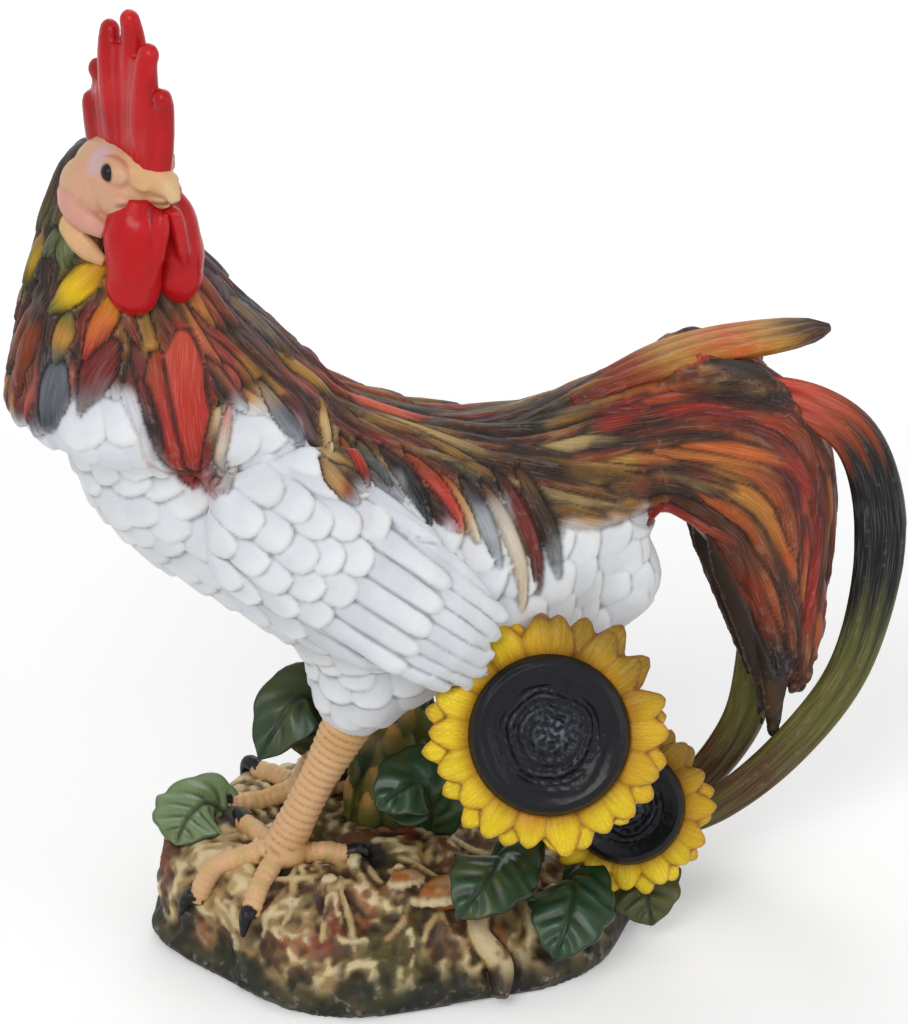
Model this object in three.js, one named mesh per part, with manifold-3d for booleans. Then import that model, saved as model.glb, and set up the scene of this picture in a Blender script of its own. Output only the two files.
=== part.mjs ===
// Cockerel garden statue on a rock base with two sunflowers.
// Millimetres, Z up, the bird looks along -X, its left side is -Y, Z = 0 is the flat underside of the base.
import * as THREE from "three";
import { mergeVertices } from "three/addons/utils/BufferGeometryUtils.js";
import Module from "manifold-3d";

// Gap left at each glued seat, and between a rod and its bore
const SEAT_GAP = 0.3;
const BORE_GAP = 0.4;

// Rock base
const BASE_LENGTH = 256;
const BASE_WIDTH = 206;
const BASE_HEIGHT = 54;
const BASE_EDGE_HEIGHT = 15;
const PLATEAU_LENGTH = 184;
const PLATEAU_WIDTH = 118;
const PLATEAU_SHIFT_X = -42;
const PLATEAU_SHIFT_Y = 6;
const ROCK_RELIEF = 8;
const ROCK_LUMP_SPACING = 39;

// Legs
const LEG_SPACING = 56;
const KNEE_X = -45;
const STRIDE = 26;
const SHANK_RISE = 66;
const SHANK_SWEEP = 35;
const SHANK_RADIUS = 8;
const ANKLE_RISE = 8;
const TOE_LENGTH = 42;
const TOE_TURN = -2;
const OUTER_TOE_LENGTH = 31;
const OUTER_TOE_TURN = 50;
const INNER_TOE_LENGTH = 35;
const INNER_TOE_TURN = -70;
const HIND_TOE_LENGTH = 35;
const HIND_TOE_TURN = 168;
const TOE_RADIUS = 5.5;
const LEG_ROD_RADIUS = 3;
const LEG_ROD_IN_BASE = 34;
const LEG_ROD_IN_TORSO = 48;

// Torso
const TORSO_LENGTH = 302;
const TORSO_HEIGHT = 214;
const TORSO_WIDTH = 158;
const TORSO_FRONT_X = -176;
const BELLY_ABOVE_KNEE = 6;
const THIGH_RADIUS = 39;
const KNEE_RADIUS = 15;
const FLUFF_LENGTH = 76;
const FLUFF_HEIGHT = 56;
const FLUFF_WIDTH = 46;

// Plant stump between the legs that carries the belly
const STUMP_LENGTH = 48;
const STUMP_WIDTH = 26;
const STUMP_X = -14;

// Wings
const WING_LENGTH = 166;
const WING_WIDTH = 96;
const WING_THICKNESS = 26;
const WING_LIFT = 3;
const WING_SLOPE = 40;
const WING_QUILLS = 5;
const QUILL_LENGTH = 92;
const QUILL_WIDTH = 24;
const QUILL_THICKNESS = 11;
const WING_DOWEL_RADIUS = 4;
const WING_DOWEL_IN_TORSO = 22;
const WING_DOWEL_IN_WING = 8;

// Neck with its hackle cape
const NECK_X = -118;
const NECK_LEAN = 34;
const NECK_SWAY = 12;
const NECK_HEIGHT = 146;
const CAPE_LENGTH = 164;
const CAPE_WIDTH = 158;
const CAPE_RIM_ABOVE_KNEE = 168;
const HACKLE_FEATHERS = 14;
const HACKLE_TIERS = 4;
const HACKLE_RELIEF = 5;
const NECK_ROD_RADIUS = 5;
const NECK_ROD_IN_TORSO = 46;

// Head
const HEAD_TURN = 113;
const HEAD_REACH = 25;
const SKULL_LENGTH = 60;
const SKULL_WIDTH = 43;
const SKULL_HEIGHT = 50;
const BEAK_LENGTH = 28;
const BEAK_RADIUS = 9.5;
const EAR_LOBE_LENGTH = 20;
const EAR_LOBE_WIDTH = 13;
const EAR_LOBE_HEIGHT = 34;
const COMB_THICKNESS = 13;
const COMB_HEIGHT = 77;
const COMB_LENGTH = 72;
const WATTLE_LENGTH = 54;
const WATTLE_WIDTH = 34;
const WATTLE_THICKNESS = 25;
const WATTLE_SPACING = 29;

// Tail
const TAIL_REACH = 113;
const TAIL_RISE = 28;
const TAIL_DROP = 188;
const TAIL_CORE_WIDTH = 60;
const TAIL_CORE_DEPTH = 84;
const TAIL_FEATHER_WIDTH = 34;
const TAIL_FEATHER_THICKNESS = 11;
const TOP_FEATHER_LENGTH = 128;
const TOP_FEATHER_WIDTH = 36;
const TOP_FEATHER_THICKNESS = 15;
const TAIL_ROD_RADIUS = 5;
const TAIL_ROD_IN_TORSO = 36;
const TAIL_ROD_IN_TAIL = 56;
const SICKLE_WIDTH = 28;
const SICKLE_THICKNESS = 12;
const SICKLE_SPACING = 34;

// Sunflowers
const LARGE_DISC_RADIUS = 40;
const LARGE_PETAL_LENGTH = 20;
const LARGE_PETALS = 18;
const LARGE_FLOWER_ABOVE_KNEE = 21;
const LARGE_FLOWER_STANDOFF = 64;
const SMALL_DISC_RADIUS = 30;
const SMALL_PETAL_LENGTH = 15;
const SMALL_PETALS = 16;
const SMALL_FLOWER_ABOVE_BASE = 22;
const DISC_DEPTH = 12;
const PETAL_THICKNESS = 4.5;
const CALYX_DEPTH = 6;
const FLOWER_TURN = -15;
const FLOWER_TILT = 27;
const STEM_RADIUS = 7;
const STEM_PEG_RADIUS = 4;

// Leaves
const LEAF_WIDTH = 42;
const LEAF_THICKNESS = 5;

const wasm = await Module();
wasm.setup();

const vec = (x, y, z) => new THREE.Vector3(x, y, z);
const UP = vec(0, 0, 1);
const SIDES = { left: -1, right: 1 };

// Solid from a closed geometry, turned so that its faces point out
function solidOf(geometry) {
  const bare = geometry.clone();
  bare.deleteAttribute("normal");
  bare.deleteAttribute("uv");
  const merged = mergeVertices(bare, 1e-4);
  const mesh = (triVerts) =>
    new wasm.Manifold(
      new wasm.Mesh({ numProp: 3, vertProperties: merged.attributes.position.array, triVerts }),
    );
  const made = mesh(new Uint32Array(merged.index.array));
  if (made.volume() > 0) return made;
  return mesh(new Uint32Array(merged.index.array).reverse());
}

// Geometry of a solid
function geometryOf(solid) {
  const mesh = solid.getMesh();
  const geometry = new THREE.BufferGeometry();
  geometry.setAttribute("position", new THREE.BufferAttribute(mesh.vertProperties, mesh.numProp));
  geometry.setIndex(new THREE.BufferAttribute(mesh.triVerts, 1));
  geometry.computeVertexNormals();
  return geometry;
}

// The solid with every point moved outwards along its normal
function grown(solid, distance) {
  const geometry = geometryOf(solid);
  const { position, normal } = geometry.attributes;
  for (let i = 0; i < position.count; i++) {
    position.setXYZ(
      i,
      position.getX(i) + normal.getX(i) * distance,
      position.getY(i) + normal.getY(i) * distance,
      position.getZ(i) + normal.getZ(i) * distance,
    );
  }
  return solidOf(geometry);
}

// The biggest of the separate bodies in a solid
function largest(solid) {
  return solid.decompose().reduce((best, body) => (body.volume() > best.volume() ? body : best));
}

const joined = (solids) => solids.reduce((sum, solid) => sum.add(solid));

// The piece cut back so that it sits on its neighbours with the seat gap
function seated(piece, neighbours) {
  return largest(neighbours.reduce((left, n) => left.subtract(grown(n, SEAT_GAP)), piece));
}

// Smooth values between rows that start with their own position
function between(rows) {
  const at = rows.map((row) => row[0]);
  const values = rows.flatMap((row) => row.slice(1));
  const curve = new THREE.CubicInterpolant(at, values, rows[0].length - 1);
  return (t) => Array.from(curve.evaluate(t));
}

// Closed skin through rings of equal point counts, both ends closed to their middles
function loft(rings) {
  const count = rings[0].length;
  const points = rings.flat();
  const faces = [];
  for (let r = 0; r + 1 < rings.length; r++) {
    for (let i = 0; i < count; i++) {
      const a = r * count + i;
      const b = r * count + ((i + 1) % count);
      faces.push(a, b, b + count, a, b + count, a + count);
    }
  }
  for (const [ring, first, turn] of [
    [rings[0], 0, true],
    [rings.at(-1), (rings.length - 1) * count, false],
  ]) {
    const middle = ring.reduce((sum, p) => sum.add(p), vec(0, 0, 0)).divideScalar(count);
    const centre = points.push(middle) - 1;
    for (let i = 0; i < count; i++) {
      const a = first + i;
      const b = first + ((i + 1) % count);
      if (turn) faces.push(b, a, centre);
      else faces.push(a, b, centre);
    }
  }
  return solidOf(new THREE.BufferGeometry().setFromPoints(points).setIndex(faces));
}

const angles = (count) => Array.from({ length: count }, (_, i) => (2 * Math.PI * i) / count);
const steps = (count) => Array.from({ length: count + 1 }, (_, i) => i / count);

// Round tube of changing radius along a smooth line
function tube(points, radii, { sides = 10, count = 8 } = {}) {
  const line = new THREE.CatmullRomCurve3(points);
  const radius = between(radii.map((r, i) => [i / (radii.length - 1), r]));
  const rings = steps(count).map((t) => {
    const along = line.getTangent(t);
    const across = Math.abs(along.y) < 0.9 ? vec(0, 1, 0) : vec(1, 0, 0);
    across.addScaledVector(along, -across.dot(along)).normalize();
    const other = along.clone().cross(across);
    const [r] = radius(t);
    return angles(sides).map((a) =>
      line
        .getPoint(t)
        .addScaledVector(across, r * Math.cos(a))
        .addScaledVector(other, r * Math.sin(a)),
    );
  });
  return loft(rings);
}

// Straight rod between two points
const rod = (from, to, radius) => tube([from, to], [radius, radius], { sides: 12, count: 1 });

// Ellipsoid with its axes along three unit vectors
function egg(centre, axes, sizes) {
  const geometry = new THREE.SphereGeometry(0.5, 16, 10);
  const frame = new THREE.Matrix4().makeBasis(...axes);
  frame.scale(vec(...sizes)).setPosition(centre);
  return solidOf(geometry.applyMatrix4(frame));
}

// Leaf-shaped blade along a smooth line, lens-shaped across, its flat face turned to one side
function blade(points, face, sizes) {
  const { width, thickness, root = 0.5, tip = 0.06, fullest = 0.5, count = 10, sides = 8 } = sizes;
  const line = new THREE.CatmullRomCurve3(points);
  const share = between([
    [0, root],
    [fullest / 2, (1 + root) / 2 + 0.08],
    [fullest, 1],
    [(1 + fullest) / 2, (1 + tip) / 2 + 0.22],
    [1, tip],
  ]);
  const rings = steps(count).map((t) => {
    const along = line.getTangent(t);
    const across = along.clone().cross(face).normalize();
    const out = across.clone().cross(along);
    const [s] = share(t);
    const deep = (thickness / 2) * (0.4 + 0.6 * s);
    return angles(sides).map((a) =>
      line
        .getPoint(t)
        .addScaledVector(across, (s * width * Math.cos(a)) / 2)
        .addScaledVector(out, deep * Math.sin(a)),
    );
  });
  return loft(rings);
}

// Rock base: an irregular foot outline that rises to a smaller plateau, with lumps all over its top
const foot = (a) => 1.03 + 0.06 * Math.cos(a - 3.5) + 0.04 * Math.cos(6 * a + 0.2);
const slopeZ = (rise) => THREE.MathUtils.lerp(BASE_EDGE_HEIGHT, BASE_HEIGHT, 1 - (1 - rise) ** 1.4);
const slopeSwell = (rise) => THREE.MathUtils.lerp(0.96, 0.86, rise ** 2);
const baseOval = (rise) => ({
  x: PLATEAU_SHIFT_X * rise,
  y: PLATEAU_SHIFT_Y * rise,
  halfLength: THREE.MathUtils.lerp(BASE_LENGTH, PLATEAU_LENGTH, rise) / 2,
  halfWidth: THREE.MathUtils.lerp(BASE_WIDTH, PLATEAU_WIDTH, rise) / 2,
});
// Lumps in rows that sway
function lump(x, y) {
  const u = (2 * Math.PI * x) / ROCK_LUMP_SPACING;
  const v = (2 * Math.PI * y) / ROCK_LUMP_SPACING;
  return (ROCK_RELIEF / 2) * Math.sin(u + 1.2 * Math.sin(v / 2)) * Math.cos(v + 0.9 * Math.sin(u / 3));
}
function baseRing(rise, swell, height) {
  const { x, y, halfLength, halfWidth } = baseOval(rise);
  return angles(52).map((a) => {
    const px = x + halfLength * swell * foot(a) * Math.cos(a);
    const py = y + halfWidth * swell * foot(a) * Math.sin(a);
    return vec(px, py, height(px, py));
  });
}
const baseBlank = loft([
  baseRing(0, 0.98, () => 0),
  baseRing(0, 1, () => BASE_EDGE_HEIGHT / 2),
  ...steps(5).map((rise) => baseRing(rise, slopeSwell(rise), (x, y) => slopeZ(rise) + lump(x, y))),
  ...[0.6, 0.4, 0.2].map((share) => baseRing(1, share, (x, y) => BASE_HEIGHT + lump(x, y))),
]);
// Height of the rock at a place on it
function groundZ(x, y) {
  const inside = (rise) => {
    const oval = baseOval(rise);
    const u = (x - oval.x) / oval.halfLength;
    const v = (y - oval.y) / oval.halfWidth;
    return Math.hypot(u, v) < slopeSwell(rise) * foot(Math.atan2(v, u));
  };
  const reached = steps(60).filter(inside);
  return slopeZ(reached.length ? reached.at(-1) : 0) + lump(x, y);
}

// Everything on the bird is set out from the height of its knees
const KNEE_Z = BASE_HEIGHT + ANKLE_RISE + SHANK_RISE;
// The right leg stands one stride behind the left one
const knee = (side) => vec(KNEE_X + (side > 0 ? STRIDE : 0), (side * LEG_SPACING) / 2, KNEE_Z);
const ankle = (side) => knee(side).add(vec(-SHANK_SWEEP, 0, -SHANK_RISE));
const shankLine = vec(SHANK_SWEEP, 0, SHANK_RISE).normalize();

function toe(side, turn, length) {
  const a = THREE.MathUtils.degToRad(turn);
  const start = ankle(side);
  const onGround = (share) => {
    const x = start.x - Math.cos(a) * length * share;
    const y = start.y + side * Math.sin(a) * length * share;
    return vec(x, y, groundZ(x, y) + TOE_RADIUS * 0.5);
  };
  return tube(
    [start, onGround(0.5), onGround(1)],
    [TOE_RADIUS * 1.3, TOE_RADIUS, TOE_RADIUS * 0.45],
    { sides: 6, count: 4 },
  );
}
function legBlank(side) {
  const shank = tube(
    [knee(side), knee(side).lerp(ankle(side), 0.5), ankle(side)],
    [SHANK_RADIUS * 1.35, SHANK_RADIUS * 0.9, SHANK_RADIUS * 1.15],
    { sides: 10, count: 4 },
  );
  const toes = [
    toe(side, TOE_TURN, TOE_LENGTH),
    toe(side, OUTER_TOE_TURN, OUTER_TOE_LENGTH),
    toe(side, INNER_TOE_TURN, INNER_TOE_LENGTH),
    toe(side, HIND_TOE_TURN, HIND_TOE_LENGTH),
  ];
  return joined([shank, ...toes]);
}
const legRod = (side, gap = 0) =>
  rod(
    ankle(side).addScaledVector(shankLine, -LEG_ROD_IN_BASE - gap),
    knee(side).addScaledVector(shankLine, LEG_ROD_IN_TORSO + gap),
    LEG_ROD_RADIUS + gap,
  );

// Torso: rows of place along the length, top, bottom and half width, as shares of its own sizes
const torsoShape = between([
  [0, 0.75, 0.71, 0.08],
  [0.035, 0.89, 0.58, 0.42],
  [0.1, 0.97, 0.46, 0.66],
  [0.19, 1, 0.36, 0.84],
  [0.29, 0.95, 0.25, 0.95],
  [0.39, 0.86, 0.13, 1],
  [0.49, 0.775, 0.03, 1],
  [0.59, 0.715, 0, 0.96],
  [0.69, 0.68, 0.02, 0.87],
  [0.79, 0.69, 0.07, 0.73],
  [0.89, 0.73, 0.15, 0.55],
  [0.97, 0.73, 0.27, 0.36],
  [1, 0.6, 0.42, 0.14],
]);
const BELLY_Z = KNEE_Z + BELLY_ABOVE_KNEE;
const WAIST = 0.45;
function torsoSection(x) {
  const [top, bottom, half] = torsoShape((x - TORSO_FRONT_X) / TORSO_LENGTH);
  const low = BELLY_Z + bottom * TORSO_HEIGHT;
  const high = BELLY_Z + top * TORSO_HEIGHT;
  const middle = THREE.MathUtils.lerp(low, high, WAIST);
  return { low, high, middle, half: (half * TORSO_WIDTH) / 2 };
}
// Half width of the torso at a place along it and a height
function flank(x, z) {
  const { low, high, middle, half } = torsoSection(x);
  const reach = z > middle ? high - middle : middle - low;
  return half * Math.sqrt(Math.max(0, 1 - ((z - middle) / reach) ** 2));
}
const torsoX = (share) => TORSO_FRONT_X + share * TORSO_LENGTH;
const TORSO_RINGS = 16;
const torsoRings = steps(TORSO_RINGS).map((s) => {
  const x = torsoX((1 - Math.cos(Math.PI * s)) / 2);
  const { low, high, middle, half } = torsoSection(x);
  return angles(20).map((a) => {
    const z = Math.sin(a) > 0 ? (high - middle) * Math.sin(a) : (middle - low) * Math.sin(a);
    return vec(x, half * Math.cos(a), middle + z);
  });
});
const thigh = (side) =>
  tube(
    [
      knee(side).add(vec(1.03, -side * 0.15, 1.9).multiplyScalar(THIGH_RADIUS)),
      knee(side).add(vec(0.31, 0, 0.87).multiplyScalar(THIGH_RADIUS)),
      knee(side),
    ],
    [THIGH_RADIUS, THIGH_RADIUS * 0.92, KNEE_RADIUS],
    { sides: 12, count: 6 },
  );
const fluffX = torsoX(0.89);
const fluffTip = vec(0.94, 0, 0.34).normalize();
const fluffOut = vec(0, 1, 0);
const fluff = (side) =>
  egg(
    vec(fluffX - FLUFF_LENGTH * 0.08, side * FLUFF_WIDTH * 0.48, torsoSection(fluffX).low + FLUFF_HEIGHT * 0.36),
    [fluffTip, fluffOut, fluffTip.clone().cross(fluffOut)],
    [FLUFF_LENGTH, FLUFF_WIDTH, FLUFF_HEIGHT],
  );
const torsoBlank = joined([loft(torsoRings), thigh(-1), thigh(1), fluff(-1), fluff(1)]);

// Stump: an uneven column, widest at both ends
const stumpShape = between([
  [0, 1.25],
  [0.3, 0.95],
  [0.65, 0.8],
  [1, 1.1],
]);
const STUMP_BOTTOM = BASE_HEIGHT - ROCK_RELIEF * 1.4;
const STUMP_TOP = BELLY_Z + TORSO_HEIGHT * 0.065;
const stumpBlank = loft(
  steps(6).map((t) =>
    angles(16).map((a) => {
      const reach = (stumpShape(t)[0] * (1 + 0.12 * Math.cos(5 * a + 4 * t))) / 2;
      const z = THREE.MathUtils.lerp(STUMP_BOTTOM, STUMP_TOP, t);
      return vec(STUMP_X + reach * STUMP_LENGTH * Math.cos(a), reach * STUMP_WIDTH * Math.sin(a), z);
    }),
  ),
);

// Wings: a shield on the flank with long quills that end in steps
const wingSlope = THREE.MathUtils.degToRad(WING_SLOPE);
const wingAlong = vec(Math.cos(wingSlope), 0, -Math.sin(wingSlope));
const wingAcross = vec(Math.sin(wingSlope), 0, Math.cos(wingSlope));
const wingRoot = vec(torsoX(0.2), 0, BELLY_Z + TORSO_HEIGHT * 0.735);
function onFlank(side, along, across, lift) {
  const p = wingRoot.clone().addScaledVector(wingAlong, along).addScaledVector(wingAcross, across);
  p.y = side * (flank(p.x, p.z) + lift);
  return p;
}
function wingShield(side) {
  const shape = between([
    [0, 0.1],
    [0.08, 0.52],
    [0.3, 1],
    [0.6, 0.86],
    [0.85, 0.5],
    [1, 0.12],
  ]);
  const rings = steps(10).map((s) => {
    const [w] = shape(s);
    const thick = (WING_THICKNESS / 2) * (0.35 + 0.65 * Math.sqrt(w));
    return angles(12).map((a) => {
      const across = (w * WING_WIDTH * Math.cos(a)) / 2;
      return onFlank(side, s * WING_LENGTH, across, WING_LIFT + thick * Math.sin(a));
    });
  });
  return loft(rings);
}
function quill(side, index) {
  const share = index / (WING_QUILLS - 1);
  const across = THREE.MathUtils.lerp(-0.18, 0.34, share) * WING_WIDTH;
  const end = WING_LENGTH * THREE.MathUtils.lerp(1.06, 0.98, share);
  const points = [0, 0.5, 1].map((t) =>
    onFlank(side, end - QUILL_LENGTH * (1 - t), across * (1 - 0.25 * t), 8 - 2 * share),
  );
  return blade(points, vec(0, side, 0), {
    width: QUILL_WIDTH,
    thickness: QUILL_THICKNESS,
    fullest: 0.55,
    count: 5,
    sides: 6,
  });
}
const wingBlank = (side) =>
  joined([wingShield(side), ...Array.from({ length: WING_QUILLS }, (_, i) => quill(side, i))]);
function wingDowel(side, gap = 0) {
  const seat = onFlank(side, WING_LENGTH * 0.3, 0, 0);
  const inner = seat.clone().add(vec(0, -side * (WING_DOWEL_IN_TORSO + gap), 0));
  const outer = seat.clone().add(vec(0, side * (WING_DOWEL_IN_WING + gap), 0));
  return rod(inner, outer, WING_DOWEL_RADIUS + gap);
}

// Neck: a bell that flares into the hackle cape over the shoulders
const CAPE_RIM_Z = KNEE_Z + CAPE_RIM_ABOVE_KNEE;
const neckAt = (t) =>
  vec(NECK_X - NECK_LEAN * Math.sin((Math.PI / 2) * t), NECK_SWAY * t, CAPE_RIM_Z + NECK_HEIGHT * t);
const capeShape = between([
  [0, 0.8, 0.78],
  [0.1, 1, 1],
  [0.25, 0.86, 0.9],
  [0.4, 0.71, 0.75],
  [0.55, 0.56, 0.59],
  [0.7, 0.43, 0.46],
  [0.85, 0.31, 0.35],
  [0.95, 0.23, 0.27],
  [1, 0.12, 0.12],
]);
// Hackle feathers lie in tiers like tiles: each rises to its tip, and the next tier starts below it
const tierRows = steps(HACKLE_TIERS - 1).flatMap((share) =>
  [1, 0.7, 0.35, 0.08].map((reach) => {
    const tier = share * (HACKLE_TIERS - 1);
    return { t: 0.07 + (0.86 * (tier + 1 - reach)) / HACKLE_TIERS, reach, tier };
  }),
);
const capeRows = [
  { t: 0, reach: 0, tier: 0 },
  ...tierRows,
  { t: 0.95, reach: 0.5, tier: 0 },
  { t: 1, reach: 1, tier: 0 },
];
const capeBlank = loft(
  capeRows.map(({ t, reach, tier }) => {
    const [length, width] = capeShape(t);
    return angles(HACKLE_FEATHERS * 4).map((a) => {
      const out = vec((Math.cos(a) * length * CAPE_LENGTH) / 2, (Math.sin(a) * width * CAPE_WIDTH) / 2, 0);
      const across = Math.abs(Math.cos((HACKLE_FEATHERS * a) / 2 + (tier * Math.PI) / 2));
      const sunk = HACKLE_RELIEF * (1 - 0.6 * t) * (1 - reach * across);
      return neckAt(t).add(out.setLength(Math.max(out.length() - sunk, 1)));
    });
  }),
);

// Head: turned to look over the bird's left side
const headTurn = THREE.MathUtils.degToRad(HEAD_TURN);
const ahead = vec(-Math.cos(headTurn), -Math.sin(headTurn), 0);
const aside = ahead.clone().cross(UP);
const neckTop = neckAt(0.88);
const skullCentre = neckTop.clone().addScaledVector(ahead, HEAD_REACH);
const onHead = (forward, right, up) =>
  skullCentre.clone().addScaledVector(ahead, forward).addScaledVector(aside, right).addScaledVector(UP, up);
const headAxes = [ahead, aside, UP];
const skull = egg(onHead(-0.07 * SKULL_LENGTH, 0, 0), headAxes, [SKULL_LENGTH, SKULL_WIDTH, SKULL_HEIGHT]);
const BEAK_ROOT = SKULL_LENGTH * 0.235;
const beak = tube(
  [
    onHead(BEAK_ROOT, 0, BEAK_RADIUS * 0.53),
    onHead(BEAK_ROOT + BEAK_LENGTH * 0.6, 0, BEAK_RADIUS * 0.53),
    onHead(BEAK_ROOT + BEAK_LENGTH, 0, -BEAK_RADIUS * 0.21),
  ],
  [BEAK_RADIUS * 1.3, BEAK_RADIUS * 0.8, BEAK_RADIUS * 0.22],
  { sides: 12, count: 6 },
);
const earLobe = (side) =>
  egg(onHead(-0.13 * SKULL_LENGTH, side * SKULL_WIDTH * 0.43, -0.3 * SKULL_HEIGHT), headAxes, [
    EAR_LOBE_LENGTH,
    EAR_LOBE_WIDTH,
    EAR_LOBE_HEIGHT,
  ]);
const headBlank = joined([skull, beak, earLobe(-1), earLobe(1)]);

// Comb: points of rising then falling height, and a free blade at the back
const COMB_FOOT = SKULL_HEIGHT * 0.22;
const combOutline = [
  [0.42, 0],
  [0.48, 0.28],
  [0.49, 0.68],
  [0.41, 0.58],
  [0.36, 0.92],
  [0.24, 0.74],
  [0.12, 1],
  [0, 0.74],
  [-0.12, 0.88],
  [-0.22, 0.54],
  [-0.34, 0.57],
  [-0.42, 0.26],
  [-0.34, -0.02],
];
const combFace = new THREE.Shape(
  combOutline.map(([along, up]) => new THREE.Vector2(along * COMB_LENGTH, up * COMB_HEIGHT)),
);
const COMB_BEVEL = 4;
const combPlate = new THREE.ExtrudeGeometry(combFace, {
  depth: COMB_THICKNESS - 2 * COMB_BEVEL,
  bevelThickness: COMB_BEVEL,
  bevelSize: COMB_BEVEL,
  bevelOffset: -COMB_BEVEL / 2,
  bevelSegments: 2,
});
combPlate.translate(0, 0, COMB_BEVEL - COMB_THICKNESS / 2);
combPlate.applyMatrix4(
  new THREE.Matrix4().makeBasis(ahead, UP, ahead.clone().cross(UP)).setPosition(onHead(0, 0, COMB_FOOT)),
);
const combBlank = solidOf(combPlate);

const wattleBlank = (side) =>
  egg(
    onHead(0.35 * SKULL_LENGTH, (side * WATTLE_SPACING) / 2, -0.1 * SKULL_HEIGHT - WATTLE_LENGTH / 2),
    headAxes,
    [WATTLE_WIDTH, WATTLE_THICKNESS, WATTLE_LENGTH],
  );

// Tail: an arched core with hanging feathers on both sides, a top feather and two sickles
const tailRoot = vec(torsoX(0.92), 0, torsoSection(torsoX(0.92)).high - 34);
const onTail = (reach, side, rise) => tailRoot.clone().add(vec(reach, side, rise));
// The same with the reach and the rise as shares of the tail's own reach and drop
const inTail = (reach, side, rise) => onTail(reach * TAIL_REACH, side, rise * TAIL_DROP);
const tailCoreBlank = (() => {
  const line = new THREE.CatmullRomCurve3([
    inTail(-0.21, 0, -0.02),
    inTail(0.22, 0, 0.01),
    inTail(0.58, 0, -0.1),
    inTail(0.78, 0, -0.33),
    inTail(0.88, 0, -0.63),
    inTail(0.94, 0, -0.85),
  ]);
  const shape = between([
    [0, 0.72],
    [0.25, 0.98],
    [0.45, 1],
    [0.7, 0.52],
    [0.88, 0.26],
    [1, 0.08],
  ]);
  return loft(
    steps(12).map((t) => {
      const along = line.getTangent(t);
      const across = along.clone().cross(vec(0, 1, 0));
      const [s] = shape(t);
      return angles(16).map((a) =>
        line
          .getPoint(t)
          .addScaledVector(across, (s * TAIL_CORE_DEPTH * Math.cos(a)) / 2)
          .add(vec(0, ((0.25 + 0.75 * s) * TAIL_CORE_WIDTH * Math.sin(a)) / 2, 0)),
      );
    }),
  );
})();
const TAIL_FACE = TAIL_CORE_WIDTH / 2;
// Hanging feathers: start, two points of the arch and the tip, as shares of the tail's reach and drop
const hanging = [
  [[-0.035, 0.075], [0.46, 0.18], [0.725, -0.01], [0.87, -0.32]],
  [[-0.02, -0.02], [0.51, 0.03], [0.72, -0.34], [0.815, -1]],
  [[-0.035, -0.14], [0.39, -0.14], [0.63, -0.47], [0.75, -0.83]],
];
function hangingFeather(side, index) {
  const lift = [0.58, 0.8, 0.55][index] * TAIL_FACE;
  const bow = [0.7, 1, 0.9, 0.35];
  const points = hanging[index].map(([reach, rise], i) => inTail(reach, side * lift * bow[i], rise));
  return blade(points, vec(0, side, 0), {
    width: TAIL_FEATHER_WIDTH,
    thickness: TAIL_FEATHER_THICKNESS,
    fullest: 0.55,
    count: 10,
    sides: 6,
  });
}
const topFeatherBlank = blade(
  [
    onTail(-0.11 * TOP_FEATHER_LENGTH, 0, TAIL_RISE * 0.93),
    onTail(0.42 * TOP_FEATHER_LENGTH, 0, TAIL_RISE * 1.64),
    onTail(0.89 * TOP_FEATHER_LENGTH, 0, TAIL_RISE * 1.72),
  ],
  vec(0, 0, 1),
  { width: TOP_FEATHER_WIDTH, thickness: TOP_FEATHER_THICKNESS, fullest: 0.6, tip: 0.2, count: 10 },
);
const sickleFoot = vec(BASE_LENGTH * 0.453, 0, BASE_EDGE_HEIGHT * 1.53);
// Sickles: points from the tail to the base, as shares of the tail's reach and drop
const sickleLines = {
  left: [
    [0.41, 0.13],
    [0.75, 0.1],
    [1.08, -0.02],
    [1.24, -0.22],
    [1.275, -0.48],
    [1.16, -0.79],
    [0.885, -1.02],
    [0.54, -1.18],
  ],
  right: [
    [0.33, 0.04],
    [0.54, 0.0],
    [0.69, -0.12],
    [0.77, -0.31],
    [0.8, -0.55],
    [0.79, -0.8],
    [0.71, -1.01],
    [0.46, -1.19],
  ],
};
function sickleBlank(name) {
  const y = (SIDES[name] * SICKLE_SPACING) / 2;
  const line = sickleLines[name].map(([reach, rise], i) => inTail(reach, y * (1 - 0.05 * i), rise));
  return blade([...line, sickleFoot.clone().add(vec(0, y * 0.6, 0))], vec(0, SIDES[name], 0), {
    width: SICKLE_WIDTH,
    thickness: SICKLE_THICKNESS,
    root: 0.55,
    tip: 0.55,
    fullest: 0.4,
    count: 20,
    sides: 6,
  });
}
const tailRod = (gap = 0) =>
  rod(
    onTail(-TAIL_ROD_IN_TORSO - gap, 0, -0.14 * TAIL_CORE_DEPTH),
    onTail(TAIL_ROD_IN_TAIL + gap, 0, -0.14 * TAIL_CORE_DEPTH),
    TAIL_ROD_RADIUS + gap,
  );

const neckRod = (gap = 0) => {
  const from = neckAt(0.12);
  const to = skullCentre.clone().add(vec(0, 0, -4));
  const along = to.clone().sub(from).normalize();
  return rod(
    from.addScaledVector(along, -NECK_ROD_IN_TORSO - gap),
    to.addScaledVector(along, gap),
    NECK_ROD_RADIUS + gap,
  );
};

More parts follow.
